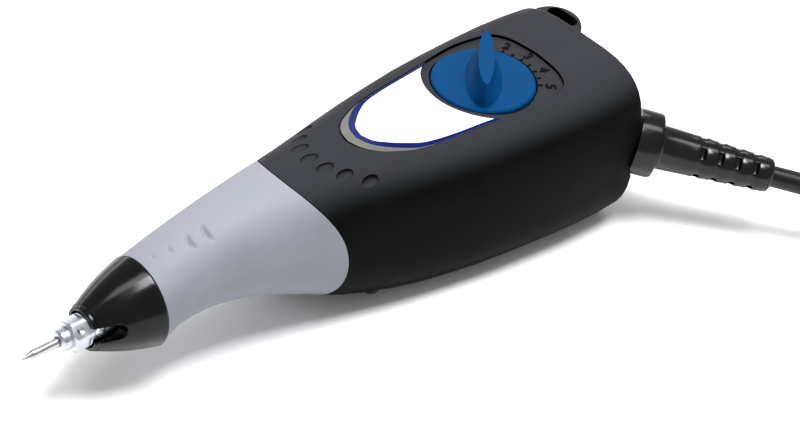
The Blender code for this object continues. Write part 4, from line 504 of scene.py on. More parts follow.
# Stacked electrical sheet, 0.5 mm thick each, dipped in varnish: dark grey, with fine lines.
VARNISHED_SHEETS = Finish(
    "varnished_sheet_stack", "lamination_steel", ("#55565a", "#66676b"), (0.4, 0.55), 6, 0.5, 0.05,
    Marks.STACKED, 1.0,
)
# Turned brass: warm, with fine rings from the lathe.
TURNED_BRASS = Finish(
    "turned_brass", "brass", ("#b99a5c", "#c8aa6c"), (0.22, 0.34), 4, 0.2, 0.002, Marks.TURNED, 1.0
)
# Sintered bronze, porous and oiled: brown, with a dull glint.
SINTERED_BRONZE = Finish(
    "sintered_bronze", "bronze", ("#a06c3a", "#b27c46"), (0.38, 0.5), 3, 0.25, 0.01, metallic=1.0
)
# Enamelled copper wire, 0.25 mm, layer on layer: red brown and ribbed.
COPPER_WINDING = Finish(
    "enamelled_copper_winding", "enamelled_copper", ("#a24a22", "#b8602f"), (0.25, 0.4), 5, 0.25, 0.06,
    Marks.WOUND, 1.0,
)
# Natural nylon of the bobbin, the cam and the slider: ivory and faintly waxy.
IVORY_NYLON = Finish(
    "ivory_bobbin_nylon", "bobbin_nylon", ("#d8d2c0", "#e2dccb"), (0.42, 0.52), 6, 0.3, 0.005
)
# Black rubber of the bumper, dusted with talc: dark and quite matt.
BUFFER_RUBBER = Finish("buffer_rubber", "black_rubber", ("#1a1a1b", "#222223"), (0.6, 0.75), 3, 0.25, 0.01)
# Soft PVC of the strain relief and the plug, off a polished mould: black with clear highlights.
RELIEF_PVC = Finish(
    "moulded_soft_pvc", "black_rubber", ("#030304", "#050506"), (0.17, 0.23), 6, 0.5, 0.003, shine=0.34
)
# Extruded PVC jacket of the flex: smooth, with a slow waviness from the die.
FLEX_JACKET = Finish(
    "extruded_flex_jacket", "cord_vinyl", ("#08080a", "#0c0c0e"), (0.28, 0.38), 8, 1.2, 0.01, shine=0.3
)
# PVC of the single leads: pale and smooth.
LEAD_PVC = Finish("lead_insulation", "lead_vinyl", ("#c4c4c2", "#d0d0ce"), (0.35, 0.45), 4, 0.6, 0.003)
# Nylon caps crimped over the joints: off-white and satin.
SPLICE_CAP = Finish("crimped_splice_cap", "splice_nylon", ("#cfcdc2", "#dad8ce"), (0.36, 0.46), 4, 0.4, 0.004)
# Woven hook-and-loop strap, threads 0.4 mm apart: matt, with a little nap.
WOVEN_STRAP = Finish(
    "woven_tie_strap", "black_nylon", ("#131315", "#1d1d20"), (0.7, 0.85), 3, 0.4, 0.12,
    Marks.WOVEN, sheen=0.3,
)
# Heavy white paper, for the floor: quite matt.
STUDIO_PAPER = Finish("studio_paper", "white_film", ("#f6f6f7", "#f9f9fa"), (0.85, 0.95), 60, 0.5, 0.002)


# Studio


@dataclass(frozen=True)
class SoftBox:
    """A rectangular light that faces the pen, with its power in watts."""

    name: str
    place: Triple
    size: Pair
    power: float

    def hang(self) -> None:
        """Hangs the light in its place."""
        data = bpy.data.lights.new(self.name, "AREA")
        data.shape = "RECTANGLE"
        data.size, data.size_y = self.size
        data.energy = self.power
        light = bpy.data.objects.new(self.name, data)
        bpy.context.scene.collection.objects.link(light)
        light.location = self.place
        light.rotation_euler = (-Vector(self.place)).to_track_quat("-Z", "Y").to_euler()


@dataclass
class Studio:
    """Pale floor, soft light from above and behind, and the camera at the photograph's angle."""

    floor_size: float = 8.0
    lens: float = 104.2
    sensor: float = 36.0
    shift: Pair = (0.0974, -0.0751)
    place: Triple = (-0.35544, -0.30956, 0.37416)
    right: Triple = (0.74746, -0.6528, 0.12347)
    up: Triple = (0.30765, 0.5048, 0.80670)
    back: Triple = (-0.58891, -0.5649, 0.57802)
    room_strength: float = 0.52
    lights: tuple[SoftBox, ...] = (
        SoftBox("key_soft_box", (-0.03, -0.21, 1.2), (0.4, 0.4), 13.5),
        SoftBox("streak_box", (0.12, -0.08, 1.2), (0.3, 1.5), 10.0),
        SoftBox("rim_card", (0.1, 1.6, 0.35), (1.2, 0.3), 3.0),
        SoftBox("rear_strip", (0.86, 0.82, 0.84), (1.0, 0.25), 3.2),
    )

    def build(self) -> None:
        """Builds camera, floor and lights."""
        self.build_camera()
        self.build_floor()
        self.build_lights()

    def build_camera(self) -> None:
        """The camera, from its measured place and axes."""
        data = bpy.data.cameras.new("studio_camera")
        data.lens = self.lens
        data.sensor_width = self.sensor
        data.shift_x, data.shift_y = self.shift
        data.clip_start = 0.01
        camera = bpy.data.objects.new("studio_camera", data)
        bpy.context.scene.collection.objects.link(camera)
        axes = Matrix((self.right, self.up, self.back)).transposed()
        camera.matrix_world = Matrix.Translation(self.place) @ axes.to_4x4()
        bpy.context.scene.camera = camera

    def build_floor(self) -> None:
        """A wide sheet of white paper."""
        floor = add_primitive("paper_floor", bpy.ops.mesh.primitive_plane_add, size=self.floor_size)
        floor.data.materials.append(STUDIO_PAPER.material())

    def build_lights(self) -> None:
        """Boxes overhead, a card and a strip behind for the edges and streaks, and a white room."""
        for light in self.lights:
            light.hang()
        world = bpy.data.worlds.new("white_room")
        world.use_nodes = True
        world.node_tree.nodes["Background"].inputs["Color"].default_value = (1, 1, 1, 1)
        world.node_tree.nodes["Background"].inputs["Strength"].default_value = self.room_strength
        bpy.context.scene.world = world
        bpy.context.scene.view_settings.view_transform = "Standard"


# Shape of the body


@dataclass(frozen=True)
class BodyForm:
    """The outer skin of sleeve and housing, in the pen's own axes.

    Shares run from the front of the sleeve to the rear face. The sections are squarish ovals whose
    crown and belly lie at different heights over the nose axis.
    """

    front: float = 0.0345
    length: float = 0.1495
    half_width: float = 0.0266
    crown: float = 0.0192
    belly: float = 0.0326
    seam: float = 0.0865
    seam_sweep: float = 0.0115
    seam_low: float = 0.0060
    seam_rise: float = 0.0250
    places: Row = (0.0, 0.034, 0.084, 0.177, 0.278, 0.385, 0.518, 0.706, 0.893, 1.0)
    widths: Row = (0.425, 0.410, 0.421, 0.474, 0.568, 0.677, 0.812, 0.944, 1.0, 0.955)
    crowns: Row = (0.604, 0.703, 0.812, 0.938, 1.0, 0.990, 0.958, 0.938, 0.911, 0.890)
    bellies: Row = (0.337, 0.270, 0.245, 0.319, 0.509, 0.718, 0.834, 0.902, 0.963, 1.0)
    squareness: Row = (2.0, 2.0, 2.0, 2.1, 2.2, 2.6, 3.2, 3.6, 3.6, 3.6)

    def section(self, x: float) -> tuple[float, float, float, float]:
        """The skin's section.

        Args:
            x: Distance from the point of the bit.

        Returns:
            Its half width, height of the middle, half height and squareness.
        """
        share = (x - self.front) / self.length
        top = self.crown * eased(share, self.places, self.crowns)
        bottom = -self.belly * eased(share, self.places, self.bellies)
        width = self.half_width * eased(share, self.places, self.widths)
        return width, (top + bottom) / 2, (top - bottom) / 2, eased(share, self.places, self.squareness)

    def point(self, x: float, turn: float) -> Vector:
        """A point of the skin.

        Args:
            x: Distance from the point of the bit.
            turn: Turn round the axis, from the side away from the cord.

        Returns:
            The point.
        """
        width, middle, height, squareness = self.section(x)
        cosine, sine = math.cos(turn), math.sin(turn)
        y = math.copysign(abs(cosine) ** (2 / squareness), cosine) * width
        z = math.copysign(abs(sine) ** (2 / squareness), sine) * height
        return Vector((x, y, middle + z))

    def top(self, x: float, y: float, inset: float) -> float:
        """Height of a skin inset from the outer one, over a point in plan.

        Args:
            x: Distance from the point of the bit.
            y: Distance from the middle.
            inset: Depth under the outer skin.

        Returns:
            The height.
        """
        width, middle, height, squareness = self.section(x)
        share = min(abs(y) / (width - inset), 1.0) ** squareness
        return middle + (height - inset) * (1 - share) ** (1 / squareness)

    def sleeve_point(self, share: float, turn: float) -> Vector:
        """A point of the sleeve, whose seam sweeps forward as it rises and falls.

        Args:
            share: How far from its front (0) to its seam (1).
            turn: Turn round the axis.

        Returns:
            The point.
        """
        point = self.point(self.front + share * (self.seam - self.front), turn)
        # Where the seam lies depends on the point's height, which a few rounds settle.
        for _ in range(4):
            rear = self.seam - self.seam_sweep * ((point.z + self.seam_low) / self.seam_rise) ** 2
            point = self.point(self.front + share * (rear - self.front), turn)
        return point


def eased(share: float, places: Sequence[float], values: Sequence[float]) -> float:
    """A smooth curve through given values, without overshoot.

    Args:
        share: Where on the curve.
        places: Places of the values.
        values: The values.

    Returns:
        The curve's value.
    """
    slopes = [(values[i + 1] - values[i]) / (places[i + 1] - places[i]) for i in range(len(places) - 1)]
    inner = [0.0 if a * b <= 0 else 2 * a * b / (a + b) for a, b in zip(slopes, slopes[1:])]
    tangents = [slopes[0], *inner, slopes[-1]]
    index = 0
    while index < len(places) - 2 and share > places[index + 1]:
        index += 1
    span = places[index + 1] - places[index]
    t = min(max((share - places[index]) / span, 0.0), 1.0)
    return (
        (2 * t**3 - 3 * t**2 + 1) * values[index]
        + (t**3 - 2 * t**2 + t) * span * tangents[index]
        + (3 * t**2 - 2 * t**3) * values[index + 1]
        + (t**3 - t**2) * span * tangents[index + 1]
    )


BODY = BodyForm()


# Cord, coil, tie and plug


@dataclass
class MainsLead:
    """The flex: out of the strain relief, down to the floor, and put away in a tied coil.

    It keeps its way for the straight length, and the coil begins at reach and side reach from its
    start. Bend reach is how long each end of the free bend pulls. Climbs are the turns that a rise
    takes. The tail is its straight end, and the seats are how far it goes on into relief and plug.
    """

    diameter: float = 0.006
    start: Triple = (0.105315, -0.036274, 0.019526)
    way: Triple = (0.670575, -0.733995, -0.107612)
    straight: float = 0.018
    reach: float = 0.1167
    side_reach: float = 0.0297
    bend_reach: float = 0.030
    route_points: int = 16
    layers: int = 3
    layer_turns: float = 2.75
    loop_points: int = 24
    middle_radius: float = 0.033
    pitch: float = 0.0065
    low: float = 0.0039
    climb: float = 0.5
    last_climb: float = 0.45
    tail: float = 0.006
    tail_seat: float = 0.002
    seat: float = 0.0015
    gap: float = 0.0003
    round_steps: int = 6
    knot_steps: int = 3
    tie_edge: float = 0.00015
    tie_crease: float = 40

    def build(self) -> None:
        """Builds relief, flex, tie and plug."""
        StrainRelief().build(Vector(self.start), Vector(self.way), self.diameter / 2)
        route = self.route()
        flex = self.build_flex(route)
        pieces = [self.build_tie(), *MainsPlug().build(self.plug_place())]

    def climbed(self, turns: float, start: float, span: float) -> float:
        """Share of a climb that begins after so many turns and takes a span of them."""
        past = min(max((turns - start) / span, 0.0), 1.0)
        return (1 - math.cos(math.pi * past)) / 2

    def coil_radius(self, turns: float) -> float:
        """Radius after so many turns: in over the first layer, out over the next, and so on."""
        inner = abs(turns % (2 * self.layer_turns) - self.layer_turns)
        return self.middle_radius + self.pitch * (inner - self.layer_turns / 2)

    def coil_height(self, turns: float) -> float:
        """Height of the flex's middle: layer on layer, and last up to the middle of the plug.

        Args:
            turns: Turns from the coil's start.

        Returns:
            The height.
        """
        height = self.low
        for layer in range(1, self.layers):
            height += self.pitch * self.climbed(turns, layer * self.layer_turns - self.climb / 2, self.climb)
        rise = self.diameter / 2 + self.gap + MainsPlug.height / 2
        start = self.layers * self.layer_turns - self.last_climb
        return height + rise * self.climbed(turns, start, self.last_climb)

    def coil_start(self) -> Vector:
        """Where the free flex runs onto the coil, heading along +X."""
        x, y, _ = self.start
        return Vector((x + self.reach, y - self.side_reach, self.coil_height(0)))

    def coil_point(self, turns: float) -> Vector:
        """A point of the coil, which turns anticlockwise seen from above.

        Args:
            turns: Turns from the coil's start.

        Returns:
            The point.
        """
        begin = self.coil_start()
        angle = 2 * math.pi * turns - math.pi / 2
        out = Vector((math.cos(angle), math.sin(angle), 0)) * self.coil_radius(turns)
        return Vector((begin.x, begin.y + self.coil_radius(0), self.coil_height(turns))) + out

    def tail_way(self) -> Vector:
        """The way the flex leaves the coil."""
        angle = 2 * math.pi * self.layers * self.layer_turns
        return Vector((math.cos(angle), math.sin(angle), 0))

    def route(self) -> list[Vector]:
        """All the points of the flex, from its seat in the strain relief to inside the plug's neck.

        Returns:
            The points.
        """
        start, way, level = Vector(self.start), Vector(self.way), Vector((1, 0, 0))
        run = start + way * self.straight
        end = self.coil_start() - level * (self.diameter + self.gap)
        first, last = run + way * self.bend_reach, end - level * self.bend_reach
        points = [start - way * self.seat, start, start + way * self.straight / 2]
        for index in range(self.route_points):
            t = index / (self.route_points - 1)
            points.append(
                (1 - t) ** 3 * run + 3 * (1 - t) ** 2 * t * first + 3 * (1 - t) * t**2 * last + t**3 * end
            )
        turns = self.layers * self.layer_turns
        count = round(turns * self.loop_points)
        points += [self.coil_point(turns * index / count) for index in range(count + 1)]
        reaches = (self.tail / 2, self.tail + self.tail_seat)
        return points + [points[-1] + self.tail_way() * reach for reach in reaches]

    def plug_place(self) -> Matrix:
        """Axes of the plug: x along the end of the flex, z = 0 at the middle of its body.

        Returns:
            The axes.
        """
        turns = self.layers * self.layer_turns
        end = self.coil_point(turns) + self.tail_way() * (self.tail + self.gap)
        return Matrix.Translation(end) @ Matrix.Rotation(2 * math.pi * turns, 4, "Z")

    def build_flex(self, route: Sequence[Vector]) -> Piece:
        """The whole flex as one smooth curve.

        Args:
            route: Its points.

        Returns:
            The flex.
        """
        curve = bpy.data.curves.new("flex", "CURVE")
        curve.dimensions = "3D"
        curve.bevel_depth = self.diameter / 2
        curve.bevel_resolution = self.round_steps
        curve.resolution_u = curve.render_resolution_u = self.knot_steps
        curve.use_fill_caps = True
        spline = curve.splines.new("BEZIER")
        spline.bezier_points.add(len(route) - 1)
        for knot, point in zip(spline.bezier_points, route):
            knot.co = point
            knot.handle_left_type = knot.handle_right_type = "AUTO"
        flex = bpy.data.objects.new("flex", curve)
        bpy.context.scene.collection.objects.link(flex)
        dress(flex, [FLEX_JACKET], "housing", ["cord", "cord_coil"])
        return flex

    def build_tie(self) -> Piece:
        """The strap round the coil, with rounded edges.

        Returns:
            The strap.
        """
        tie = welded_copy("coil_tie", "tie_strap", self.tie_crease)
        round_edges(tie, self.tie_edge)
        smooth(tie, self.tie_crease)
        dress(tie, [WOVEN_STRAP], "housing", ["coil_tie"])
        return tie


@dataclass
class StrainRelief:
    """A tapered moulding with a collar and rings of windows that let it bend.

    The collar's rim, the fillet behind it, and one ring with its groove are steps along and out, in
    millimetres, from the collar's rear edge, from the foot of the sleeve and from its tapered skin.
    """

    sides: int = 64
    crease: float = 40
    collar_radius: float = 0.0091
    collar_length: float = 0.0056
    skirt: float = 0.0012
    sleeve_length: float = 0.032
    sleeve_radius: float = 0.0062
    end_radius: float = 0.0047
    neck_radius: float = 0.0042
    neck_length: float = 0.0105
    edge: float = 0.0004
    rim: Outline = ((-1.0, 0.0), (-0.3, -0.3), (0.0, -1.0))
    fillet: Outline = ((0.1, 0.9), (0.5, 0.3), (1.2, 0.0))
    ring: Outline = ((0.0, 0.0), (1.0, 0.05), (1.6, -0.25), (2.8, -0.3), (3.4, 0.0))
    ring_setback: float = 0.0022
    end_length: float = 0.0005
    bore_gap: float = 0.0001
    bore_depth: float = 0.0020
    exit_gap: float = 0.0003
    window_rows: int = 4
    row_windows: int = 4
    window_pitch: float = 0.005
    window_start: float = 0.0175
    window_depth: float = 0.0018
    window_width: float = 0.0034
    window_length: float = 0.0018
    window_rounding: float = 0.0006
    window_steps: int = 3

    def build(self, end_place: Vector, way: Vector, cord_radius: float) -> None:
        """Builds the strain relief in place.

        Args:
            end_place: Where the flex leaves it.
            way: Direction of the flex there.
            cord_radius: Radius of the flex.
        """
        end = self.collar_length + self.sleeve_length
        outline = self.profile(end, cord_radius + self.bore_gap)
        relief = draw_out("strain_relief_moulding", outline, self.sides)
        cut_with(relief, self.windows())
        smooth(relief, self.crease)
        foot = end_place - way * (end + self.exit_gap)
        axes = way.to_track_quat("Z", "Y").to_matrix().to_4x4()
        set_in_place(relief, Matrix.Translation(foot) @ axes)
        dress(relief, [RELIEF_PVC], "housing", ["strain_relief"])

    def profile(self, end: float, bore: float) -> Outline:
        """Outline of the moulding, from its neck in the wall to the bore at its end.

        Args:
            end: Height of its end.
            bore: Radius of its bore.

        Returns:
            Height and radius of each ring.
        """
        outline = [
            (-self.neck_length, self.neck_radius),
            (-self.skirt, self.neck_radius),
            (-self.skirt, self.collar_radius - self.edge),
            (self.edge - self.skirt, self.collar_radius),
        ]
        outline += [(self.collar_length + x * MM, self.collar_radius + out * MM) for x, out in self.rim]
        outline += [(self.collar_length + x * MM, self.sleeve_radius + out * MM) for x, out in self.fillet]
        for row in range(self.window_rows + 1):
            foot = self.window_start + self.window_pitch * row - self.ring_setback
            outline += [(foot + x * MM, self.radius_at(foot) + out * MM) for x, out in self.ring]
        outline = [(height, radius) for height, radius in outline if height < end - self.end_length]
        outline += [(end - self.end_length, self.end_radius), (end, self.end_radius - self.edge)]
        return outline + [(end, bore), (end - self.bore_depth, bore)]

    def radius_at(self, height: float) -> float:
        """Radius of the tapered sleeve at a height."""
        share = (height - self.collar_length) / self.sleeve_length
        return self.sleeve_radius + (self.end_radius - self.sleeve_radius) * share

    def windows(self) -> list[Piece]:
        """Rounded cutters for the windows, row by row.

        Returns:
            The cutters.
        """
        cutters = []
        size = Vector((2 * self.window_depth, self.window_width, self.window_length))
        for row in range(self.window_rows):
            height = self.window_start + self.window_pitch * row
            centre = Vector((self.radius_at(height), 0, height))
            for side in range(self.row_windows):
                turn = 2 * math.pi * (side + 0.5) / self.row_windows
                cutter = rounded_block("window_cutter", centre, size, self.window_rounding, self.window_steps)
                cutters.append(set_in_place(cutter, Matrix.Rotation(turn, 4, "Z")))
        return cutters


@dataclass
class MainsPlug:
    """A moulded two-blade plug with a waist for the fingers.

    Cuts are shares of its length. Squeezes pair such a share with the share of its width there.
    """

    length: float = 0.030
    width: float = 0.019
    height: float = 0.013
    cuts: Row = (0.08, 0.3, 0.6, 0.8, 0.97)
    squeezes: Outline = ((0.3, 0.9), (0.6, 0.93), (0.08, 0.84), (0.0, 0.62))
    neck_length: float = 0.009
    neck_inset: float = 0.0012
    neck_taper: Triple = (1, 0.86, 0.9)
    edge: float = 0.0012
    crease: float = 50
    blade_edge: float = 0.0003
    blade_crease: float = 40

    def build(self, place: Matrix) -> list[Piece]:
        """Builds the plug.

        Args:
            place: Its axes.

        Returns:
            Its pieces.
        """
        body = self.build_body()
        set_in_place(body, place)
        dress(body, [RELIEF_PVC], "housing", ["plug_body"])
        made = [body]
        for side in ("left", "right"):
            blade = welded_copy(f"plug_blade_{side}", f"blade_{side}", self.blade_crease, self.blade_edge)
            dress(blade, [TURNED_BRASS], "housing", [f"plug_blade_{side}"])
            made.append(blade)
        return made

    def build_body(self) -> Piece:
        """A cube drawn out into neck, waist and face, then rounded by subdivision.

        Returns:
            The body, with its neck at the origin.
        """
        start = self.neck_length
        centre = Vector((start + self.length / 2, 0, 0))
        body = add_primitive("plug_moulding", bpy.ops.mesh.primitive_cube_add, size=1, location=centre)
        with editing(body):
            bpy.ops.transform.resize(value=(self.length, self.width, self.height), center_override=centre)
            for share in self.cuts:
                bpy.ops.mesh.select_all(action="SELECT")
                bpy.ops.mesh.bisect(plane_co=(start + self.length * share, 0, 0), plane_no=(1, 0, 0))
            for share, squeeze in self.squeezes:
                x = self.length * (share - 0.5)
                select_parts(body, Part.POINT, lambda point: abs(point.co.x - x) < 0.1 * MM)
                bpy.ops.transform.resize(value=(1, squeeze, 0.5 + squeeze / 2), center_override=centre)
            select_parts(body, Part.FACE, lambda face: face.normal.x < -0.9)
            bpy.ops.mesh.inset(thickness=self.neck_inset)
            half_neck = {"value": (-self.neck_length / 2, 0, 0)}
            for _ in range(2):
                bpy.ops.mesh.extrude_region_move(TRANSFORM_OT_translate=half_neck)
                bpy.ops.transform.resize(value=self.neck_taper, center_override=centre)
        round_edges(body, self.edge)
        apply_modifier(body, "SUBSURF", levels=2, render_levels=2)
        smooth(body, self.crease)
        return body


# Grip sleeve


@dataclass
class GripSleeve:
    """The soft sleeve, with a waist for the fingers and four crescent marks on its top.

    Bow is how far a mark's ends lag, as a share of its width. Floor is the share of its depth that
    it keeps on the rear side, and fade says how steeply its edge falls.
    """

    around: int = 180
    along: int = 130
    crease: float = 50
    bore: float = 0.0065
    mark_places: Row = (0.0374, 0.0413, 0.0462, 0.0507)
    mark_sides: Row = (-0.0005, -0.0019, -0.0034, -0.0038)
    mark_sizes: Row = (0.45, 0.55, 0.95, 1.0)
    mark_length: float = 0.0048
    mark_width: float = 0.0017
    mark_depth: float = 0.0011
    mark_bow: float = 0.35
    mark_floor: float = 0.35
    mark_fade: float = 0.6

    def build(self) -> None:
        """Builds the sleeve: a tube primitive, subdivided, set on the body's skin and closed on the bore."""
        tube = {"vertices": self.around, "radius": 1, "depth": 1, "end_fill_type": "NOTHING"}
        sleeve = add_primitive("rubber_sleeve", bpy.ops.mesh.primitive_cylinder_add, **tube)
        with editing(sleeve):
            select_parts(sleeve, Part.EDGE, lambda edge: abs(edge.verts[0].co.z - edge.verts[1].co.z) > 0.5)
            bpy.ops.mesh.subdivide(number_cuts=self.along - 1)
        for vertex in sleeve.data.vertices:
            turn = math.atan2(vertex.co.y, vertex.co.x)
            vertex.co = self.marked(BODY.sleeve_point(vertex.co.z + 0.5, turn))
        with editing(sleeve):
            self.close_on_bore(sleeve)
        smooth(sleeve, self.crease)
        set_in_place(sleeve)
        dress(sleeve, [GRIP_RUBBER], "housing", ["grip_sleeve"])

    def marked(self, point: Vector) -> Vector:
        """The point, sunk where it lies in a crescent mark.

        Args:
            point: A point of the skin.

        Returns:
            The point or one under it.
        """
        if point.z < 0:
            return point
        sunk = 0.0
        for x, y, size in zip(self.mark_places, self.mark_sides, self.mark_sizes):
            across = (point.y - y) / (self.mark_length / 2 * size)
            bow = self.mark_bow * self.mark_width * across**2
            forward = (point.x - x - bow) / (self.mark_width / 2 * size)
            reach = across**2 + forward**2
            if reach < 1:
                # The side towards the nose falls steeply and the other rises slowly.
                lean = self.mark_floor + (1 - self.mark_floor) * (1 - forward) / 2
                sunk = max(sunk, self.mark_depth * size * (1 - reach) ** self.mark_fade * lean)
        return point - Vector((0, 0, sunk))

    def close_on_bore(self, sleeve: Piece) -> None:
        """Draws both ends in to the bore and joins them through it.

        Args:
            sleeve: The open tube, in edit mode.
        """
        bpy.ops.mesh.select_mode(type="EDGE")
        bpy.ops.mesh.select_all(action="DESELECT")
        bpy.ops.mesh.select_non_manifold(extend=False)
        bpy.ops.mesh.extrude_edges_move(TRANSFORM_OT_translate={"value": (0, 0, 0)})
        edited = bmesh.from_edit_mesh(sleeve.data)
        for vertex in edited.verts:
            if vertex.select:
                turn = math.atan2(vertex.co.z, vertex.co.y)
                vertex.co.y, vertex.co.z = self.bore * math.cos(turn), self.bore * math.sin(turn)
        bmesh.update_edit_mesh(sleeve.data)
        bpy.ops.mesh.bridge_edge_loops()
        bpy.ops.mesh.select_all(action="SELECT")
        bpy.ops.mesh.normals_make_consistent(inside=False)


# Housing, nose and works


@dataclass
class Shells:
    """Top shell and bottom cover in sparked nylon, and the screws of the cover."""

    crease: float = 34
    screw_crease: float = 30

    def build(self) -> None:
        """Dresses both shells and the cover screws."""
        for node, name in (("top_shell", "housing_top"), ("bottom_cover", "housing_bottom")):
            dress(welded_copy(node, name, self.crease), [SPARKED_NYLON], "housing", [node])
        for node in sorted(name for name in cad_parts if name.startswith("cover_screw")):
            screw = welded_copy(node, f"dressed_{node}", self.screw_crease)
            dress(screw, [BLACKED_STEEL], "housing", [node])


@dataclass(frozen=True)
class PrintedEdge:
    """One edge between two printed colours, which follows the edge of the sunk panel inside it.

    Setback is how far its tip lies behind the panel's, and fade the length over which that is lost.
    Least is how far inside the panel's edge it then runs.
    """

    side: int
    setback: float
    fade: float
    least: float


@dataclass
class LabelPlate:
    """The bare printed plate: a white field with a blue edge, and a grey crescent round its tip.

    Crowding draws the rows towards the tip, and over the tip's length the edges draw in from the
    panel's own edge.
    """

    panel_front: float = 0.0980
    panel_length: float = 0.0675
    panel_half_width: float = 0.0167
    dial_place: float = 0.1460
    arc_radius: float = 0.0165
    depth: float = 0.0002
    thickness: float = 0.0003
    weld: float = 0.000002
    crease: float = 40
    rows: int = 100
    crowding: float = 1.6
    tip_length: float = 0.003
    columns: tuple[int, ...] = (3, 3, 30, 3, 3)
    colours: tuple[int, ...] = (0, 1, 2, 1, 0)
    edges: tuple[PrintedEdge, ...] = (
        PrintedEdge(-1, 0.0008, 0.006, 0.0003),
        PrintedEdge(-1, 0.0034, 0.018, 0.00036),
        PrintedEdge(-1, 0.0052, 0.026, 0.0012),
        PrintedEdge(1, 0.0052, 0.020, 0.0012),
        PrintedEdge(1, 0.0034, 0.013, 0.00036),
        PrintedEdge(1, 0.0008, 0.006, 0.0003),
    )
    places: Row = (
        0, 0.013, 0.043, 0.102, 0.22, 0.369, 0.55, 0.65, 0.772, 0.833, 0.889, 0.927, 0.951, 0.97, 0.99, 1,
    )
    widths: Row = (
        0, 0.19, 0.36, 0.52, 0.71, 0.80, 0.874, 0.94, 1, 0.97, 0.922, 0.88, 0.814, 0.70, 0.44, 0,
    )

    def build(self) -> None:
        """Builds the plate: a grid primitive, drawn to the printed edges and laid on the panel's curve."""
        count = sum(self.columns)
        grid = {"x_subdivisions": self.rows, "y_subdivisions": count, "size": 1}
        plate = add_primitive("printed_plate", bpy.ops.mesh.primitive_grid_add, **grid)
        zones = [zone for zone, columns in enumerate(self.columns) for _ in range(columns)]
        for face in plate.data.polygons:
            face.material_index = self.colours[zones[int((face.center.y + 0.5) * count)]]
        for vertex in plate.data.vertices:
            place = self.place(vertex.co.x + 0.5, round((vertex.co.y + 0.5) * count))
            vertex.co = (*place, BODY.top(*place, self.depth))
        with editing(plate):
            bpy.ops.mesh.remove_doubles(threshold=self.weld)
        apply_modifier(plate, "SOLIDIFY", thickness=self.thickness, offset=-1.0)
        smooth(plate, self.crease)
        set_in_place(plate)
        dress(plate, [FILM_GREY, FILM_BLUE, FILM_WHITE], "housing", ["label_plate"])

    def half_width(self, x: float) -> float:
        """Half width of the sunk panel."""
        share = (x - self.panel_front) / self.panel_length
        return self.panel_half_width * eased(share, self.places, self.widths)

    def on_arc(self, y: float) -> float:
        """Place along the pen where the arc round the dial crosses y."""
        return self.dial_place - math.sqrt(self.arc_radius**2 - y**2)

    def on_edge(self, edge: PrintedEdge, share: float) -> Vector:
        """A point of a printed edge, from its tip (0) to the dial (1).

        Args:
            edge: The edge.
            share: How far along it.

        Returns:
            The point in plan.
        """
        first = self.panel_front + edge.setback
        last = self.on_arc(0.8 * self.panel_half_width)
        # Where the edge meets the arc depends on the panel's width there, which a few rounds settle.
        for _ in range(6):
            last = self.on_arc(self.half_width(last) - edge.least)
        x = first + (last - first) * share**self.crowding
        past = min((x - first) / edge.fade, 1.0)
        shifted = x - edge.setback * (1 - past * past * (3 - 2 * past))
        margin = edge.least * min((x - first) / self.tip_length, 1.0)
        return Vector((x, edge.side * (self.half_width(shifted) - margin)))

    def place(self, share: float, column: int) -> Pair:
        """Place in plan of a point of the grid.

        Args:
            share: How far along, from the tip to the dial.
            column: Its column, from the cord's side to the other.

        Returns:
            Its x and y.
        """
        zone = 0
        while column > self.columns[zone]:
            column -= self.columns[zone]
            zone += 1
        across = column / self.columns[zone]
        near, far = self.edges[zone], self.edges[zone + 1]
        point = self.on_edge(near, share).lerp(self.on_edge(far, share), across)
        end = self.on_edge(near, 1.0).lerp(self.on_edge(far, 1.0), across)
        return point.x + share**3 * (self.on_arc(end.y) - end.x), point.y


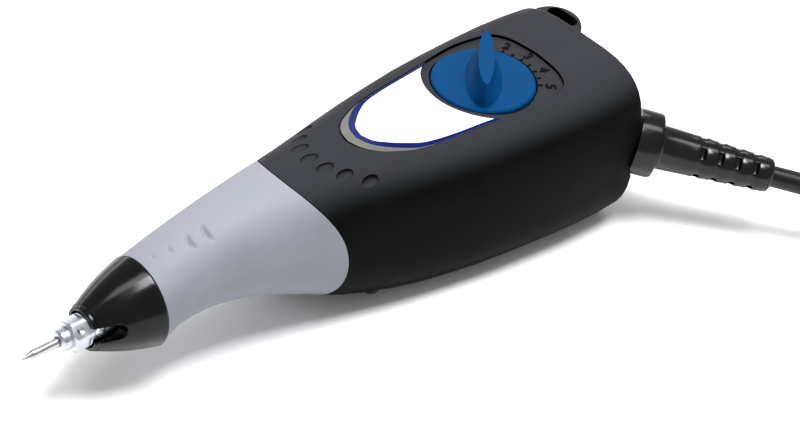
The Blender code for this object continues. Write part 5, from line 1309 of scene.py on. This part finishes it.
@dataclass
class DialScale:
    """Plain numerals 1 to 5 and short ticks behind the dial, raised on the shell.

    Raised says where their thickness lies, from -1 for under the shell's skin to 1 for over it.
    """

    centre: Pair = (0.1460, 0.0)
    first: float = math.radians(45)
    step: float = math.radians(-21.3)
    numerals: int = 5
    radius: float = 0.0183
    size: float = 0.0040
    boldness: float = 0.00006
    tick_radius: float = 0.0157
    tick_size: Pair = (0.0012, 0.0005)
    above: float = 0.03
    thickness: float = 0.0005
    raised: float = 0.1
    crease: float = 30

    def build(self) -> None:
        """Builds the numerals and ticks, lays them on the shell and thickens them."""
        marks = []
        for index in range(self.numerals):
            turn = self.first + self.step * index
            marks.append(self.add_numeral(str(index + 1), turn))
            marks.append(self.add_tick(turn))
            if index:
                marks.append(self.add_tick(turn - self.step / 2))
        deselect_all()
        for mark in marks:
            mark.select_set(True)
        scale = bpy.context.view_layer.objects.active = marks[0]
        bpy.ops.object.join()
        scale.name = "dial_scale"
        set_in_place(scale)
        apply_modifier(
            scale, "SHRINKWRAP", target=bpy.data.objects["housing_top"], wrap_method="PROJECT",
            use_project_z=True, use_negative_direction=True, use_positive_direction=False,
        )
        apply_modifier(scale, "SOLIDIFY", thickness=self.thickness, offset=self.raised)
        smooth(scale, self.crease)
        dress(scale, [RAISED_NYLON], "housing")

    def on_ring(self, turn: float, radius: float) -> Vector:
        """A place over the shell at a turn round the dial."""
        x, y = self.centre
        return Vector((x + radius * math.cos(turn), y + radius * math.sin(turn), self.above))

    def add_numeral(self, text: str, turn: float) -> Piece:
        """A flat numeral with its foot towards the dial.

        Args:
            text: The numeral.
            turn: Where it stands round the dial.

        Returns:
            Its mesh.
        """
        stand = {"location": self.on_ring(turn, self.radius), "rotation": (0, 0, turn - math.pi / 2)}
        numeral = add_primitive("numeral", bpy.ops.object.text_add, **stand)
        numeral.data.body = text
        numeral.data.size = self.size
        numeral.data.align_x = numeral.data.align_y = "CENTER"
        numeral.data.offset = self.boldness
        bpy.ops.object.convert(target="MESH")
        bpy.ops.object.transform_apply(location=True, rotation=True, scale=True)
        return bpy.context.object

    def add_tick(self, turn: float) -> Piece:
        """A flat tick that points at the dial.

        Args:
            turn: Where it lies round the dial.

        Returns:
            Its mesh.
        """
        place = self.on_ring(turn, self.tick_radius)
        lie = {"size": 1, "location": place, "rotation": (0, 0, turn)}
        tick = add_primitive("tick", bpy.ops.mesh.primitive_plane_add, **lie)
        with editing(tick):
            bpy.ops.transform.resize(value=(*self.tick_size, 1), orient_type="LOCAL", center_override=place)
            bpy.ops.mesh.subdivide(number_cuts=2)
        bpy.ops.object.transform_apply(location=True, rotation=True, scale=True)
        return tick


@dataclass
class StrokeDial:
    """The blue dial, with its fin."""

    crease: float = 34

    def build(self) -> None:
        """Dresses the dial."""
        dress(welded_copy("stroke_dial", "blue_dial", self.crease), [BLUE_ABS], "dial", ["stroke_dial"])


@dataclass
class Nose:
    """Nose cone, chuck, set screw and bit, turned smooth round the pen's axis.

    Ends are places along the pen, from the point of the bit. The bit is given by its radius and the
    lengths of its point and of all of it; dimple, rod, socket and slot by their radius or width and
    their depth or length; the lip by its length and its drop. The dimple's floor is its share of the
    radius, and of the depth at which the wall begins. The chuck's and the cone's edge is a width and
    the least angle, in degrees, that is rounded. The cone's break is a share of its length and the
    drop in radius at its rear, and the lip's edges are the lengths of the slopes behind and before it.
    """

    sides: int = 96
    screw_sides: int = 48
    bit: Triple = (0.0012, 0.0034, 0.022)
    bit_tip: Pair = (0.00004, 0.00002)
    bit_edge: float = 0.00015
    bit_crease: float = 14
    collar_radius: float = 0.0028
    chuck_radius: float = 0.0042
    chuck_front: float = 0.0105
    shoulder: float = 0.0131
    chuck_back: float = 0.0310
    chamfer: float = 0.0005
    chuck_edge: Pair = (0.00009, 17)
    chuck_crease: float = 14
    flats: int = 6
    flat_depth: float = 0.00035
    flat_length: float = 0.0044
    flat_turn: float = math.radians(48)
    flat_overrun: float = 0.002
    flat_spread: float = 2.1
    flat_rounding: float = 0.0003
    flat_steps: int = 3
    dimple: Pair = (0.0010, 0.0010)
    dimple_floor: Pair = (0.2, 0.6)
    rod: Pair = (0.0021, 0.0065)
    screw_place: float = 0.0200
    screw_radius: float = 0.00145
    screw_ends: Pair = (0.0015, 0.0041)
    screw_edge: float = 0.0002
    screw_crease: float = 20
    hole_share: float = 1.1
    hex_radius: float = 0.0007
    access_turn: float = math.radians(14)
    cone_ends: Pair = (0.0176, 0.0342)
    cone_radii: Pair = (0.0056, 0.0118)
    cone_bulge: float = 0.0006
    cone_steps: int = 24
    cone_break: Pair = (0.012, 0.0002)
    cone_edge: Pair = (0.00012, 50)
    cone_crease: float = 30
    lip: Pair = (0.0010, 0.00035)
    lip_edges: Pair = (0.0001, 0.0002)
    bore: float = 0.0048
    socket: Pair = (0.0076, 0.0080)
    slot: Pair = (0.0040, 0.0070)
    slot_steps: int = 8
    gap: float = 0.0003

    def build(self) -> None:
        """Builds the four pieces."""
        pieces = (
            (self.build_cone(), POLISHED_NYLON, "housing", "nose_cone"),
            (self.build_chuck(), PLATED_ZINC, "hammer", "chuck"),
            (self.build_set_screw(), PLATED_SCREW, "set_screw", "chuck_set_screw"),
            (self.build_bit(), GROUND_CARBIDE, "bit", "bit"),
        )
        for piece, finish, body, node in pieces:
            set_in_place(piece)
            dress(piece, [finish], body, [node])

    def turned(self, name: str, profile: Outline) -> Piece:
        """A piece turned round the pen's axis, from its (place along the pen, radius) pairs."""
        return set_in_place(draw_out(name, profile, self.sides), Matrix.Rotation(math.pi / 2, 4, "Y"))

    def across(self, turn: float, place: float) -> Matrix:
        """A place along the pen, with Z across it at a turn up from the cord's side."""
        return Matrix.Translation((place, 0, 0)) @ Matrix.Rotation(math.pi / 2 - turn, 4, "X")

    def build_bit(self) -> Piece:
        """The bit: a ground point with a tiny flat, a shank and a broken rear edge.

        Returns:
            The bit.
        """
        (radius, point, length), edge = self.bit, self.bit_edge
        outline = [self.bit_tip, (point, radius), (length - edge, radius), (length, radius - edge)]
        bit = self.turned("carbide_bit", outline)
        smooth(bit, self.bit_crease)
        return bit

    def build_chuck(self) -> Piece:
        """The chuck: rod socket, body with wrench flats, collar and bore for the bit.

        Returns:
            The chuck.
        """
        radius, front, shoulder = self.chuck_radius, self.chuck_front, self.shoulder
        bore = self.bit[0] + self.gap / 2
        outline = [
            (self.chuck_back - self.rod[1], self.rod[0]),
            (self.chuck_back, self.rod[0]),
            (self.chuck_back, radius),
            (shoulder + self.chamfer, radius),
            (shoulder, radius - self.chamfer),
            (shoulder, self.collar_radius),
            (front + self.chamfer, self.collar_radius),
            (front, self.collar_radius - self.chamfer),
            (front, bore),
            (self.bit[2] + self.gap, bore),
        ]
        chuck = self.turned("plated_chuck", outline)
        cut_with(chuck, self.chuck_cutters())
        round_edges(chuck, *self.chuck_edge)
        smooth(chuck, self.chuck_crease)
        return chuck

    def chuck_cutters(self) -> list[Piece]:
        """Cutters for the wrench flats, the set screw's hole and the dimple.

        Returns:
            The cutters, in the order of their use.
        """
        radius, (width, depth) = self.chuck_radius, self.dimple
        flat_place = self.shoulder + self.flat_length / 2
        size = Vector((self.flat_length + self.flat_overrun, self.flat_spread * radius, radius))
        middle = Vector((-self.flat_overrun / 2, 0, radius - self.flat_depth + radius / 2))
        cutters = []
        for side in range(self.flats):
            flat = rounded_block("flat_cutter", middle, size, self.flat_rounding, self.flat_steps)
            turn = self.flat_turn + side * 2 * math.pi / self.flats
            cutters.append(set_in_place(flat, self.across(turn, flat_place)))
        hole_radius = self.hole_share * self.screw_radius
        hole = draw_out("hole_cutter", [(0, hole_radius), (2 * radius, hole_radius)], self.screw_sides)
        cutters.append(set_in_place(hole, self.across(self.access_turn, self.screw_place)))
        floor, wall = self.dimple_floor
        sunk = [(radius - depth, floor * width), (radius - wall * depth, width), (radius + depth, width)]
        dimple = draw_out("dimple_cutter", sunk, self.screw_sides)
        return cutters + [set_in_place(dimple, self.across(self.flat_turn, flat_place))]

    def build_set_screw(self) -> Piece:
        """The grub screw that bears on the bit, with a hexagon socket.

        Returns:
            The screw.
        """
        (tip, head), radius, edge = self.screw_ends, self.screw_radius, self.screw_edge
        outline = [(tip, radius / 2), (tip + radius / 3, radius)]
        outline += [(head - edge, radius), (head, radius - edge)]
        screw = draw_out("dressed_set_screw", outline, self.screw_sides)
        hexagon = [((tip + head) / 2, self.hex_radius), (2 * head, self.hex_radius)]
        cut_with(screw, [draw_out("socket_cutter", hexagon, 6)])
        smooth(screw, self.screw_crease)
        return set_in_place(screw, self.across(self.access_turn, self.screw_place))

    def cone_radius(self, share: float) -> float:
        """Radius of the cone at a share of its length, a taper with a slight bulge."""
        front, rear = self.cone_radii
        return front + (rear - front) * share + self.cone_bulge * math.sin(math.pi * share)

    def build_cone(self) -> Piece:
        """The nose cone: a bulged taper with a lip, a stepped bore and the way to the set screw.

        Returns:
            The cone.
        """
        (front, back), (lip, drop) = self.cone_ends, self.lip
        length, (break_share, break_drop) = back - front, self.cone_break
        first, last = 1 - break_share, lip / length
        outline = [(back, self.cone_radius(1.0) - break_drop)]
        for index in range(self.cone_steps + 1):
            share = first + (last - first) * index / self.cone_steps
            outline.append((front + length * share, self.cone_radius(share)))
        inner, (inset, edge) = self.cone_radius(last) - drop, self.lip_edges
        outline += [(front + lip - inset, inner), (front + edge, inner), (front, inner - edge)]
        cone = self.turned("polished_nose", outline)
        bore = self.turned("bore_cutter", [(front - length, self.bore), (back + length, self.bore)])
        radius, deep = self.socket
        seat = self.turned("seat_cutter", [(back - deep, radius), (back + length, radius)])
        width, reach = self.slot
        size = Vector((2 * reach, width, 2 * back))
        # A shade under half of its width rounds the slot's end without folding it.
        rounding = 0.499 * width
        way = rounded_block("way_cutter", Vector((0, 0, back + self.bit[0])), size, rounding, self.slot_steps)
        set_in_place(way, self.across(self.access_turn, front))
        cut_with(cone, [bore, seat, way])
        round_edges(cone, *self.cone_edge)
        smooth(cone, self.cone_crease)
        return cone


@dataclass
class Works:
    """What the housing hides: the carried CAD nodes, each in the finish of its material slot."""

    finishes: tuple[Finish, ...] = (
        DRAWN_STEEL, BLUED_STRIP, VARNISHED_SHEETS, TURNED_BRASS, SINTERED_BRONZE, COPPER_WINDING,
        IVORY_NYLON, BUFFER_RUBBER, SPARKED_NYLON, FLEX_JACKET, LEAD_PVC, SPLICE_CAP, PLATED_ZINC,
    )

    def build(self) -> None:
        """Gives each carried node its finish."""
        by_slot = {finish.slot: finish for finish in self.finishes}
        for name, node in sorted(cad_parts.items()):
            if node.hide_render:
                continue
            slots = [made.name.split(".")[0] for made in node.data.materials if made is not None]
            finish = next((by_slot[slot] for slot in slots if slot in by_slot), DRAWN_STEEL)
            node.data.materials.clear()
            node.data.materials.append(finish.material())
            log.info("%s carried in %s", name, finish.name)


# All of it

ASSEMBLIES = (Studio, MainsLead, GripSleeve, Shells, LabelPlate, DialScale, StrokeDial, Nose, Works)


def main() -> None:
    """Builds the scene, sub-assembly by sub-assembly."""
    logging.basicConfig(level=logging.INFO, format="%(message)s")
    for assembly in ASSEMBLIES:
        log.info("%s", assembly.__name__)
        assembly().build()


if __name__ == "__main__":
    main()
